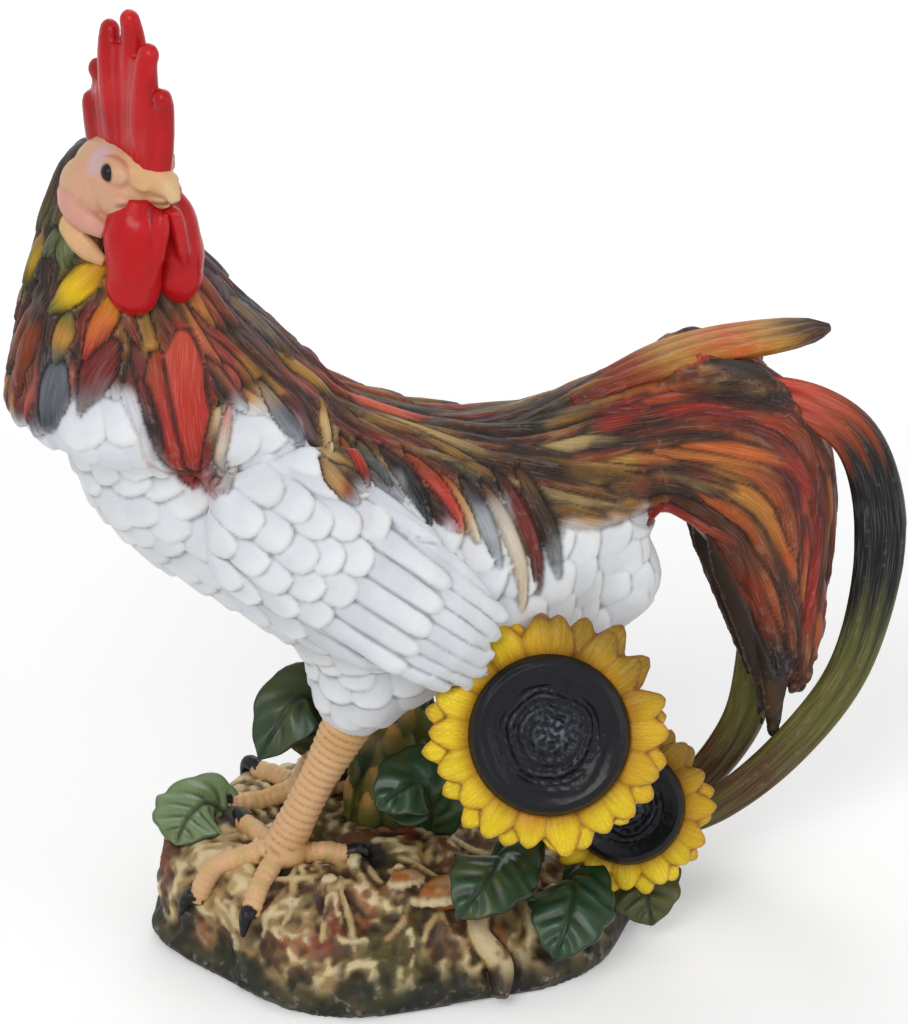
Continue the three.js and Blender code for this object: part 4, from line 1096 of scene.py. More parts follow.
def feathered(name, nodes, rods, voxel, rounds, inset, ground):
    """A casting in low relief: the smooth form of its nodes, raised by the feathers on it, and painted."""
    points, quads = smooth_form(nodes + rods, voxel, rounds, inset)
    if "_wing" not in name:
        grown = points + normals_of(points, quads) * 2.8
        points = relaxed(on_core(grown, normals_of(points, quads)), quads, 2)
    if name == "tail_plumage":
        out = smoothstep(0, 16, points[:, 0] - points[:, 0].min())
        points = points + normals_of(points, quads) * (1.1 * out - 0.6)[:, None]
    normals = normals_of(points, quads)
    height, tags = laid_on(name, points, normals, FEATHERS, ground(points))
    points = relaxed(points + normals * height[:, None], quads, 1, 0.4)
    hollow = hollows(points, quads, HOLLOW_ROUNDS)
    brush = tags[:, BRUSH]
    white = 1 - smoothstep(0.2, 0.8, brush)
    rim = tags[:, RIM] * (0.3 + 0.7 * smoothstep(0.3, 0.6, tags[:, STRAND_SEED]))
    colours = relaxed(tags[:, COLOUR], quads, 4)
    edge = above_edge(points.T) + 6 * lobes(points, 0.09, 8)
    fade = (1 - white) * (1 - smoothstep(-10, 6, edge)) * (points[:, 0] < 112)
    fade = fade * (0.5 + 0.5 * smoothstep(0.82, 0.95, brush))
    colours = tinted(colours, "white", 0.85 * fade)
    colours = tinted(colours, "grey", 0.12 * white * smoothstep(0.1, 0.6, lobes(points, 0.03, 4)))
    sprayed = airbrush(colours, points, 0.5)
    colours = mixed(sprayed, colours, 0.85 * white)
    # Painted shade: slate in the hollows of the white feathers
    colours = shade_hollows(colours, hollow, "slate", 0.55, 0.7 * white)
    # Coloured feathers: black at their rims and in the grooves where one rises over the next, partly dark
    # feather edges and partly painted shade; black in their hollows is painted shade
    dark = (1 - white) * (1 - fade)
    colours = tinted(colours, "black", 0.85 * dark * relaxed(np.stack([rim] * 3, 1), quads, 3)[:, 0])
    colours = shade_hollows(colours, hollow, "black", 0.6, 0.85 * dark)
    piece(name, points, quads, colours, PLUMAGE, nodes, tags[:, STRAND], hollow, brush)


plain = lambda name: lambda points: np.broadcast_to(PAINT[name], points.shape)
by_edge = lambda points: np.where(above_edge(points.T)[:, None] < 2, PAINT["white"], PAINT["umber"])
feathered("torso_plumage", ["torso"], RODS, voxel=1.3, rounds=10, inset=1.6, ground=by_edge)
feathered("hackle", ["neck_cape"], ["neck_rod"],
          voxel=1.2, rounds=10, inset=1.4, ground=by_edge)
for name, _ in SIDES:
    feathered(f"{name}_wing_plumage", [f"{name}_wing"], [f"{name}_wing_dowel"],
              voxel=1.1, rounds=8, inset=0.8, ground=plain("white"))
feathered("tail_plumage", TAIL_NODES, ["tail_rod"],
          voxel=1.2, rounds=6, inset=1.4, ground=plain("umber"))

# Long single feathers: ribbons of ridges along their line, from the tail's root
TAIL_ROOT = np.array([101.8, 0, 260.0])


def in_tail(reach, side, rise):
    """A place by shares of the tail's reach and drop."""
    return TAIL_ROOT + (113 * reach, side, 188 * rise)


def ribbon(name, nodes, line, face, width, thick, shares, paints, ridges):
    """A long feather: width and colour by shares of its length, with ridges that run along it."""
    count, half = 90, 22
    path = spline(line, count)
    t = np.linspace(0, 1, count)
    _, across, up = axes_along(path, face)
    u = np.linspace(-1, 1, half)
    wave = np.sin((u[None, :] + 0.12 * np.sin(5 * t)[:, None]) * ridges * math.pi)
    rim = np.sqrt(np.clip(1 - np.abs(u) ** 2.4, 0, 1))
    body = np.interp(t, [0, 0.5, 0.93, 1], [0.7, 1, 0.8, 0.25])[:, None] * rim * thick / 2
    w = np.interp(t, *zip(*shares))[:, None] * width / 2 * (1 + 0.03 * np.sin(17 * t + 1))[:, None]
    top = body + 0.5 * wave * rim
    low = -body + 0.5 * wave[:, ::-1] * rim
    flat = lambda h, v: path[:, None] + across[:, None] * (w * v)[..., None] + up[:, None] * h[..., None]
    points = np.concatenate([flat(top, u[None, :]), flat(low, u[None, :])[:, ::-1]], 1)
    ring = 2 * half
    names = [PAINT[c] for _, c in paints]
    at = [s for s, _ in paints]
    shift = t[:, None] + 0.03 * np.sin(9 * np.concatenate([u, u[::-1]]))[None, :]
    colours = np.stack([np.interp(shift, at, [c[k] for c in names]) for k in range(3)], -1)
    depth = np.concatenate([-wave, -wave], 1) * np.concatenate([rim, rim])
    # Painted shade: black in the grooves between the ridges
    colours = tinted(colours, "black", 0.3 * smoothstep(0.1, 0.9, depth))
    place = np.tile(np.concatenate([u, u[::-1]]) * width / 2, (count, 1))
    strand = np.stack([place, np.broadcast_to(t[:, None] * 300, place.shape), np.full(place.shape, 0.5)], -1)
    piece(name, points.reshape(-1, 3), shell_quads(count, ring), colours.reshape(-1, 3), PLUMAGE, nodes,
          strand.reshape(-1, 3), 0.5 * depth.ravel(), np.ones(count * ring))


# Sickles: shares of the tail's reach and drop, then of the length with widths and paints
SICKLE_LINES = {
    "left": [
        (0.36, 0.12), (0.75, 0.1), (1.08, -0.02), (1.24, -0.22), (1.275, -0.48), (1.16, -0.79),
        (0.885, -1.02), (0.54, -1.18),
    ],
    "right": [
        (0.3, 0.05), (0.54, 0.0), (0.69, -0.12), (0.77, -0.31), (0.8, -0.55), (0.79, -0.8),
        (0.71, -1.01), (0.46, -1.19),
    ],
}
SICKLE_WIDTHS = [(0, 0.6), (0.15, 0.85), (0.4, 1.02), (0.7, 0.9), (0.88, 0.8), (1, 0.5)]
SICKLE_PAINTS = [
    (0, "maroon"), (0.08, "red"), (0.16, "coral"), (0.22, "rust"), (0.28, "black"), (0.47, "black"),
    (0.55, "moss"), (0.64, "olive"), (0.72, "olive"), (0.82, "brown"), (0.92, "olive"), (1, "moss"),
]
SICKLE_ASIDE = 17
for name, side in SIDES:
    line = [
        in_tail(reach, side * SICKLE_ASIDE * (1 - 0.05 * i), drop)
        for i, (reach, drop) in enumerate(SICKLE_LINES[name])
    ]
    line.append((116, side * 10.2, 23))
    ribbon(f"{name}_sickle_plume", [f"{name}_sickle"], line, (0, side, 0),
           width=28, thick=11, shares=SICKLE_WIDTHS, paints=SICKLE_PAINTS, ridges=3)

# Top feather of the tail
TOP_LINE = [(80, 0, 282), (120, 0, 297), (155.6, 0, 304), (217, 0, 307)]
TOP_WIDTHS = [(0, 0.5), (0.3, 0.85), (0.6, 1), (0.85, 0.75), (0.96, 0.4), (1, 0.12)]
TOP_PAINTS = [
    (0, "maroon"), (0.25, "rust"), (0.4, "ochre"), (0.6, "orange"), (0.75, "ochre"), (0.88, "brown"),
    (1, "umber"),
]
ribbon("tail_top_plume", ["tail_top_feather"], TOP_LINE, (0, 0, 1),
       width=38, thick=13, shares=TOP_WIDTHS, paints=TOP_PAINTS, ridges=4)

# Head, in its own frame: ahead, to the bird's right, and up
HEAD = np.array([-141.6, -12.5, 424.5])
AHEAD = np.array([0.3907, -0.9205, 0])
HEAD_AXES = np.array([AHEAD, (-0.9205, -0.3907, 0), (0, 0, 1)])
EYE = (10.5, 15.6, 14.5)
EYE_SIZES = (8.6, 8, 8.6)


def on_head(*place):
    """A place in the head's frame."""
    return HEAD + np.asarray(place, float) @ HEAD_AXES


def head_line(side, places):
    """A line on one side of the head, through places in its frame."""
    return [on_head(ahead, side * aside, up) for ahead, aside, up in places]


def rope(clay, line, radii, count=16, ring=14, flat=(1, 1), normal=(0, 0, 1), colour=(1, 1, 1), brush=0.0):
    """A tube through the points of a line, with radii spread along it."""
    t = np.linspace(0, 1, count)
    r = np.interp(t, np.linspace(0, 1, len(radii)), radii)
    points, quads = tube(spline(line, count), r, ring, flat, normal)
    clay.add(points, quads, colour=colour, brush=brush)


def wrinkled(points, quads, height, scale, seed=0.0):
    """Points moved out and in by smooth noise."""
    return points + normals_of(points, quads) * (height * lobes(points, scale, seed))[:, None]


def head():
    clay = Clay()
    egg(clay, on_head(-4, 0, 0), HEAD_AXES, (60, 43, 50), PAINT["flesh"])
    egg(clay, on_head(12, 0, -4), HEAD_AXES, (30, 30, 24), PAINT["flesh"])
    upper_beak = head_line(1, [(4, 0, 9), (18, 0, 12), (29, 0, 12.5), (37, 0, 10), (41, 0, 5.5)])
    rope(clay, upper_beak, [14, 12.5, 9.5, 6.2, 2.6], count=20, colour=PAINT["peach"])
    lower_beak = head_line(1, [(10, 0, 1), (23, 0, 2), (34, 0, 3)])
    rope(clay, lower_beak, [10, 7, 2.5], colour=PAINT["peach"])
    lumps = (
        ((9.5, 12.4, 14), (22, 11, 14), "flesh"),
        ((-11, 13, -4), (40, 25, 38), "flesh"),
        ((9, 13, 0), (28, 15, 16), "flesh"),
        ((24, 8, 11), (15, 6, 6), "peach"),
    )
    lobes_below = (
        ("pink", [4, 6, 6.6, 6.2, 4.5], [(-21, 22, -2), (-10, 25.5, -6), (2, 24, -10), (10, 19, -14)]),
        ("peach", [4, 6.2, 7, 6.2, 2.8], [(-21, 21, -12), (-13, 24.5, -18), (-2, 23.5, -24), (8, 19, -30)]),
    )
    for _, side in SIDES:
        for place, sizes, tone in lumps:
            egg(clay, head_line(side, [place])[0], HEAD_AXES, sizes, PAINT[tone])
        for tone, radii, places in lobes_below:
            rope(clay, head_line(side, places), radii, flat=(1, 0.7), normal=HEAD_AXES[1], colour=PAINT[tone])

    def dress(points, tags, hollow):
        local = (points - HEAD) @ HEAD_AXES.T
        tone = lobes(points, 0.07, 2)
        c = tinted(tags[:, COLOUR], "pink", 0.35 * smoothstep(0, 0.5, tone))
        c = tinted(c, "sand", 0.6 * smoothstep(-8, -22, local[:, 0]) * smoothstep(-4, 12, local[:, 2]))
        from_eye = np.linalg.norm((local - EYE) * (1, 0, 1), axis=1)
        pale = np.linalg.norm((local - (0, 0, 17)) * (1, 0, 1), axis=1)
        c = tinted(c, "lilac", 0.7 * (1 - smoothstep(3, 9, pale)))
        c = tinted(c, "umber", 0.75 * (1 - smoothstep(3.6, 5.2, from_eye)))
        mouth = np.abs(local[:, 2] - 1.5 - 0.10 * (local[:, 0] - 20))
        c = tinted(c, "maroon", 0.8 * (1 - smoothstep(0.4, 1.7, mouth)) * smoothstep(16, 22, local[:, 0]))
        c = tinted(c, "cream", 0.45 * smoothstep(34, 43, local[:, 0]))
        # Painted shade: rust in the hollows
        return shade_hollows(c, hollow, "rust", 0.9, 0.75)

    cast("face", clay, CAST_VOXEL, SKIN, ["head"], dress)
    for name, side in SIDES:
        ball = Clay()
        egg(ball, head_line(side, [EYE])[0], HEAD_AXES, EYE_SIZES, turns=28, rows=20)
        points, quads, _, _ = ball.arrays()
        piece(f"{name}_eye", points, quads, coated("black", points), GLOSS, [])


COMB_FOOT = on_head(0, 0, 11)


def comb():
    clay = Clay()
    at = lambda along, side, up: COMB_FOOT + along * AHEAD + side * HEAD_AXES[1] + (0, 0, up)
    # Painted shade: the blade low between the fingers is crimson
    egg(clay, at(9, 0, 20), HEAD_AXES, (46, 11, 46), PAINT["crimson"])
    egg(clay, at(-11, 0, 22), HEAD_AXES, (34, 10, 42), PAINT["crimson"])
    fingers = [
        (25, 33, 47, 7.6),
        (18, 24, 66, 8.2),
        (8, 9, 78, 8.6),
        (-2, -8, 69, 8.4),
        (-12, -20, 47, 8.2),
        (-18, -26, 30, 7.2),
    ]
    for i, (foot, top, height, radius) in enumerate(fingers):
        lean = 1.5 if i % 2 else -1.5
        middle = 0.35 * top + 0.65 * foot
        line = [at(foot, 0, -4), at(middle, lean, 0.45 * height)]
        line += [at(0.8 * top + 0.2 * foot, lean, 0.8 * height), at(top, 0, height - 3)]
        # The rear fingers, turned away, are darker maroon as a painted shade; the others vary a little by
        # chance
        tone = tinted(PAINT["scarlet"], "maroon", 0.5 if top < -15 else 0.1 * rng.random())
        radii = [radius * 0.75, radius, radius * 1.05, radius, radius * 0.85, 5.2]
        rope(clay, line, radii, count=24, flat=(1, 0.8), normal=HEAD_AXES[1], colour=tone)
        egg(clay, at(top, 0, height - 5.5), HEAD_AXES, (10.5, 9, 11), tone)
    for one, two in zip(fingers[:-1], fingers[1:]):
        foot, top = 0.5 * (one[0] + two[0]), 0.5 * (one[1] + two[1])
        height = min(one[2], two[2]) - 9
        # Painted shade: the webs low between the fingers are crimson
        tone = tinted(PAINT["scarlet"], "crimson", 0.4)
        line = [at(foot, 0, -4), at(0.5 * (foot + top), 0, 0.5 * height), at(top, 0, height)]
        rope(clay, line, [7, 8.4, 8.6, 8, 5.5], count=20, flat=(1, 0.8), normal=HEAD_AXES[1], colour=tone)

    def dress(points, tags, hollow):
        tone = lobes(points, 0.06, 9)
        c = tinted(tags[:, COLOUR], "wine", 0.25 * smoothstep(0.0, -0.5, tone))
        c = tinted(c, "rose", 0.25 * smoothstep(0.05, 0.5, tone))
        # Painted highlight: rose on the ridges
        c = tinted(c, "rose", 0.3 * smoothstep(-0.2, -0.8, hollow))
        # Painted shade: wine in the hollows
        return shade_hollows(c, hollow, "wine", 0.8, 0.9)

    cast("comb_casting", clay, CAST_VOXEL, RED, ["comb"], dress)


def wattle(name, side):
    clay = Clay()
    drop = head_line(side, [(17, 6, 1), (20, 10, -12), (21, 12, -27), (20.5, 12, -40), (20, 11, -49)])
    rope(clay, drop, [9, 12.5, 13.5, 13.6, 12, 6], count=30, ring=24, flat=(0.95, 1.08),
         normal=HEAD_AXES[0], colour=PAINT["scarlet"])
    # Painted shade: the crimson throat between the two lobes
    egg(clay, on_head(18, side * 4, -7), HEAD_AXES, (36, 16, 22), PAINT["crimson"])
    egg(clay, on_head(20.3, side * 11.5, -38), HEAD_AXES, (27, 27, 32), PAINT["scarlet"])
    fold = head_line(side, [(34, 3, -1), (35, 6, -16), (33, 9, -34)])
    rope(clay, fold, [3.6, 4.6, 3.6, 1.5], count=18, ring=12, colour=PAINT["scarlet"])
    points, quads = melted(clay, CAST_VOXEL)
    points = wrinkled(relaxed(points, quads, 9), quads, 1.2, 0.08, side)
    hollow = hollows(points, quads, 12)
    c = tinted(tags_at(clay, points)[:, COLOUR], "wine", 0.12)
    c = tinted(c, "rose", 0.15 * smoothstep(0.1, 0.5, lobes(points, 0.05, 5)))
    # Painted shade: wine in the hollows
    c = shade_hollows(c, hollow, "wine", 0.7, 0.9)
    piece(f"{name}_wattle_casting", points, quads, c, RED, [f"{name}_wattle"], None, hollow)


# Ground
base_skin = Skin(*smooth_form(["base_rock"], voxel=2.2, rounds=3))


def ground(x, y):
    """Height of the rock at a place."""
    place, _ = base_skin.hit((x, y, ABOVE), (0, 0, -1))
    return place.z if place is not None else 0.0


# Legs: knee and ankle, and the toes by their turn from straight ahead and their length
KNEES = {"left": (np.array([-45.0, -28, 128]), -1), "right": (np.array([-19.0, 28, 128]), 1)}
SHANK = np.array([-35.0, 0, -66])
TOES = [(-2, 43), (50, 33), (-70, 36), (168, 35)]
CLAW_TIPS = []


def ringed(clay, path, radii, pitch, depth, colour):
    """A tube with overlapping ring scales along it."""
    gone = gone_by(path)
    at = np.linspace(0, gone[-1], max(int(gone[-1] / 0.7), 8))
    line = taken(at, gone, path)
    r = np.interp(at, np.linspace(0, gone[-1], len(radii)), radii)
    r = r + depth * ((at / pitch) % 1.0 - 0.5)
    points, quads = tube(line, r, 20, normal=(0, 1, 0.1))
    clay.add(points, quads, colour=colour)


def leg(name):
    knee, side = KNEES[name]
    clay = Clay()
    ankle = knee + SHANK
    shank = spline([knee - 0.14 * SHANK, knee + 0.5 * SHANK, ankle + (0, 0, -2)], 40)
    ringed(clay, shank, [14, 11.5, 9.2, 9.4, 11], pitch=4.2, depth=1.5, colour=PAINT["peach"])
    egg(clay, ankle + (2, 0, -2), np.eye(3), (26, 24, 20), PAINT["peach"])
    for turn, length in TOES:
        a = math.radians(turn)
        way = np.array([-math.cos(a), side * math.sin(a), 0])
        spots = [ankle]
        for share in (0.3, 0.55, 0.8, 1.0):
            q = ankle + way * (length * share + 2)
            spots.append(np.array([q[0], q[1], ground(q[0], q[1]) + 4.6 - 1.2 * share]))
        path = spline(spots, 40)
        ringed(clay, path, [8, 6, 5.4, 5.1, 5.4, 4.6], pitch=3.8, depth=1.2, colour=PAINT["peach"])
        for joint in (14, 26):
            egg(clay, path[joint] + (0, 0, 1.0), np.eye(3), (11, 11, 9.4), PAINT["sand"])
        end = path[-1]
        tip = end + way * 9
        tip[2] = max(ground(tip[0], tip[1]) + 1.0, end[2] - 8)
        CLAW_TIPS.append(tip)
        claw = [end - way * 3 + (0, 0, 1), end + way * 4 + (0, 0, 2.6), tip]
        rope(clay, claw, [4.6, 4.2, 3, 1.2], count=14, ring=12, colour=PAINT["black"], brush=1.0)

    def dress(points, tags, hollow):
        tone = lobes(points, 0.05, 1)
        c = tinted(tags[:, COLOUR], "ochre", 0.35 * smoothstep(0.0, 0.5, tone))
        c = tinted(c, "flesh", 0.4 * smoothstep(0.0, 0.5, -tone))
        c = tinted(c, "black", smoothstep(0.3, 0.7, tags[:, BRUSH]))
        # Painted shade: brown in the grooves between the scales
        return shade_hollows(c, hollow, "brown", 0.35, 0.85)

    cast(f"{name}_leg_casting", clay, CAST_VOXEL, SKIN, [f"{name}_leg"], dress, 1)


# Sunflowers: facing way, right and up
FACING = np.array([-0.2306, -0.8607, 0.4540])
FLOWER_RIGHT = np.array([0.9659, -0.2588, 0])
FLOWER_AXES = np.array([FLOWER_RIGHT, np.cross(FACING, FLOWER_RIGHT), FACING])


def flower_centre(node):
    """Middle of a seed disc's back."""
    points = read_mesh(NODES[node].data)[0] / MM
    local = points @ FLOWER_AXES.T
    middle = (local.min(0) + local.max(0)) / 2
    return np.array([middle[0], middle[1], local[:, 2].min()]) @ FLOWER_AXES


def flower(name, radius, petal, count):
    centre = flower_centre(f"{name}_disc")
    spread = np.random.default_rng(count)
    clay = Clay()
    at = lambda r, a, h: centre + np.array([r * math.cos(a), r * math.sin(a), h]) @ FLOWER_AXES
    for rise, reach, shift in ((-7.5, 1.0, 0.5), (-3.5, 0.92, 0.0)):
        for i in range(count):
            a = 2 * math.pi * (i + shift) / count + 0.06 * spread.normal()
            out = radius + petal * reach * (1 + 0.08 * spread.normal())
            cup = 2.5 + 1.5 * spread.random()
            line = [at(radius - 7, a, rise), at(0.5 * (radius + out), a, rise + cup)]
            line += [at(out - 2, a, rise + 0.6 * cup), at(out, a, rise - 0.8)]
            path = spline(line, len(FORMS["petal"][0]))
            ups = np.tile(FACING, (len(path), 1))
            wide = 2 * math.pi * (radius + 0.6 * petal) / count * (1.04 + 0.12 * spread.random())
            tones = (shade("gold", 0.15), shade("yellow", 0.1), shade("lemon", 0.08))
            # Petal sides deeper gold: a painted shade between the petals
            plume(clay, path, ups, "petal", wide, 5.2, tones, sink=2.2, edge=("gold", 0.55))
    plate = Clay()
    for h, r in ((-10.2, 0.88), (-6, 1.05), (-0.5, 1.0)):
        plate.add([at(radius * r, 2 * math.pi * k / 48, h) for k in range(48)])
    clay.add(np.concatenate(plate.points), shell_quads(3, 48), colour=PAINT["olive"])

    def dress(points, tags, hollow):
        local = (points - centre) @ FLOWER_AXES.T
        r = np.hypot(local[:, 0], local[:, 1])
        c = tinted(tags[:, COLOUR], "rust", 0.55 * (1 - smoothstep(radius - 2, radius + 0.4 * petal, r)))
        tone = lobes(points, 0.04, 6)
        c = tinted(c, "orange", 0.35 * smoothstep(0.1, 0.55, tone))
        # Painted shade: petals deeper gold, then umber, towards the top and right of the ring
        c = tinted(c, "gold", 0.6 * smoothstep(0.1, 0.8, (local[:, 0] + 0.8 * local[:, 1]) / radius))
        shadow = (0.6 * local[:, 0] + local[:, 1]) / radius + 0.5 * tone
        c = tinted(c, "umber", 0.6 * smoothstep(0.85, 1.6, shadow))
        c = tinted(c, "olive", 0.7 * smoothstep(-7, -10, local[:, 2]))
        c = tinted(c, "rust", 0.5 * smoothstep(0.75, 1.0, tags[:, RIM]))
        # Painted shade: brown in the hollows
        return shade_hollows(c, hollow, "brown", 0.6, 0.9)

    cast(f"{name}_petal_ring", clay, CAST_VOXEL, PETAL, [f"{name}_petals"], dress, 1)

    face, wall, under = 110, 12, 28
    rows, turns = face + wall + under, 160
    shares = [np.linspace(0.02, 1, face), np.linspace(1, 0.9, wall), np.linspace(0.88, 0.02, under)]
    r = radius * np.concatenate(shares)
    top = 12 * np.interp(np.linspace(0, 1, face), [0, 0.18, 0.34, 0.46, 0.6, 0.72, 0.86, 0.94, 1],
                         [0.92, 0.88, 0.74, 0.72, 0.6, 0.82, 1, 0.86, 0.5])
    h = np.concatenate([top, np.linspace(5, -1, wall), np.full(under, -1.0)])
    a = np.arange(turns) * 2 * math.pi / turns
    x, y = r[:, None] * np.cos(a), r[:, None] * np.sin(a)
    flat = np.stack([x, y, 0 * x], -1).reshape(-1, 3)
    sway = lobes(flat, 0.05, count).reshape(rows, turns)
    inner = (1 - smoothstep(0.5, 0.78, r / radius))[:, None]
    ripple = np.sin(r[:, None] * 1.05 + 3.5 * sway) * (0.25 + 0.75 * inner)
    seedy = lobes(flat, 0.4, 3).reshape(rows, turns)
    upper = (np.arange(rows) < face)[:, None]
    height = h[:, None] + upper * (0.6 * ripple + (0.15 + 0.55 * inner) * seedy)
    points = centre + np.stack([x, y, height], -1).reshape(-1, 3) @ FLOWER_AXES
    quads = shell_quads(rows, turns)[:, ::-1]
    ridge = (upper * ripple).ravel()
    c = tinted(coated("navy", points), "black", 0.5 + 0.5 * seedy.ravel())
    c = tinted(c, "slate", 0.28 * smoothstep(0.55, 1.0, ridge) * smoothstep(0.0, 0.5, lobes(flat, 0.07, 8)))
    off = (flat[:, 0] - 0.05 * radius) ** 2 + (flat[:, 1] - 0.05 * radius) ** 2
    glint = np.exp(-off / (0.2 * radius) ** 2)
    c = tinted(c, "frost", 0.5 * glint * smoothstep(-0.1, 0.5, seedy.ravel()) * upper.repeat(turns))
    piece(f"{name}_seed_disc", points, quads, c, GLOSS, [f"{name}_disc"], None, -0.2 * ridge)


# Leaves and stems
LEAF_FACE = unit((-0.25, -0.6, 0.76))
LEAVES = {
    "behind_leg": ([(-34, 34), (-44, 26, 92), (-60, 14, 122), (-84, 4, 96)], "leaf"),
    "under_belly": ([(2, -20), (-2, -34, 78), (-12, -40, 96), (-34, -46, 88)], "leaf"),
    "below_flower": ([(28, -46), (27, -68, 60), (16, -85, 64), (-4, -97, 49)], "leaf"),
    "front": ([(63, -54), (62, -77, 46), (54.5, -96, 42), (43, -110, 24)], "leaf"),
    "right": ([(92, -34), (100, -50, 34), (104, -64, 28), (106, -76, 12)], "moss"),
    "left": ([(-92, 22), (-108, 20, 62), (-120, 12, 61), (-130, -2, 55)], "sage"),
}


def leaf(name, line, tone):
    rows, half = 60, 31
    root = (*line[0], ground(*line[0]) - 8)
    path = spline([root, *line[1:]], rows)
    t = np.linspace(0, 1, rows)[:, None]
    _, across, up = axes_along(path, LEAF_FACE)
    u = np.linspace(-1, 1, half)[None, :]
    wide = 22 * np.interp(t, [0, 0.12, 0.35, 0.62, 0.82, 0.94, 1], [0.28, 0.42, 0.82, 1, 0.74, 0.36, 0.04])
    wide = wide * (1 + 0.09 * np.abs(np.sin(t * 7 * math.pi)) - 0.04)
    veins = np.cos((t * 8 - 1.1 * np.abs(u)) * 2 * math.pi) * (1 - np.abs(u)) ** 0.6
    veins = veins * smoothstep(0.03, 0.2, np.abs(u))
    rib = np.exp(-((u / 0.06) ** 2))
    curl = 3.2 * u**2 * np.sin(t * 2.6 * math.pi + 0.8) - 2.0 * u**2
    top = 1.6 + 1.2 * (1 - u**2) + 0.8 * veins - 1.3 * rib + curl
    low = -1.4 - 0.8 * (1 - u**2) + 0.8 * veins - 1.3 * rib + curl
    thin = np.clip(wide / 8, 0.3, 1)
    flat = path[:, None] + across[:, None] * (wide * u)[..., None]
    raised = lambda h: flat + up[:, None] * (h * thin)[..., None]
    points = np.concatenate([raised(top), raised(low)[:, ::-1]], 1).reshape(-1, 3)
    quads = shell_quads(rows, 2 * half)
    both = lambda v: np.concatenate([v, v[:, ::-1]], 1).ravel()
    ridge = both(0.5 * veins - rib)
    noise_tone = lobes(points, 0.05, len(name))
    c = tinted(coated(tone, points), "moss", 0.5 * smoothstep(0, 0.5, noise_tone))
    # Painted highlight: teal on the raised veins
    c = tinted(c, "teal", 0.5 * smoothstep(0.1, 0.5, ridge) * smoothstep(-0.3, 0.3, -noise_tone))
    # Painted shade: pine in the midrib and the grooves between the veins
    c = tinted(c, "pine", 0.8 * smoothstep(0.05, 0.5, -ridge))
    c = tinted(c, "black", 0.45 * both(smoothstep(0.86, 1.0, np.abs(u)) + 0 * t))
    piece(f"leaf_{name}_casting", points, quads, c, LEAF, [f"leaf_{name}"], None, -0.5 * ridge)


def stem(name):
    points, quads = smooth_form([f"{name}_stem"], voxel=1.4, rounds=3)
    points = wrinkled(points, quads, 0.8, 0.12, 3)
    hollow = hollows(points, quads, HOLLOW_ROUNDS)
    tone = lobes(points, 0.06, 4)
    c = tinted(coated("moss", points), "leaf", smoothstep(-0.3, 0.4, tone))
    # Painted shade: pine in the hollows
    c = shade_hollows(c, hollow, "pine", 0.6, 0.7)
    piece(f"{name}_stalk", points, quads, c, LEAF, [f"{name}_stem"], None, hollow)


# Paint sets of the plant stump's scales, from root to tip
STUMP_SETS = (
    ("pine", "moss", "olive"), ("leaf", "moss", "olive"),
    ("pine", "leaf", "moss"), ("leaf", "olive", "ochre"),
)


def stump():
    clay = Clay()
    points, quads = smooth_form(["support_stump"], voxel=1.8, rounds=6, inset=1.0)
    clay.add(points, quads, colour=PAINT["moss"])
    skin = Skin(points, quads)
    spread = np.random.default_rng(5)
    for p in skin.seeds(9.0, lambda p, n: 50 < p[2] < 118 and abs(n[2]) < 0.8, 6):
        spots, ups = [], []
        sway = spread.normal(0, 0.25)
        for s in np.linspace(0, 1, len(FORMS["lancet"][0])):
            place, normal = skin.drop(Vector((p[0] + sway * 30 * s, p[1], p[2] - 10 + 34 * s)))
            spots.append(place)
            ups.append(normal)
        names = STUMP_SETS[spread.integers(4)]
        width = 10 + 4 * spread.random()
        tones = [shade(c, 0.1) for c in names]
        plume(clay, np.array(spots), np.array(ups), "lancet", width, 4.5, tones, lift=2.5)

    def dress(points, tags, hollow):
        high = smoothstep(95, 118, points[:, 2])
        c = tinted(tags[:, COLOUR], "sand", 0.5 * smoothstep(0.1, 0.5, lobes(points, 0.04, 3)) * high)
        # Painted shade: pine in the hollows
        return shade_hollows(c, hollow, "pine", 0.9, 0.8)

    cast("plant_stump", clay, 1.1, LEAF, ["support_stump"], dress)


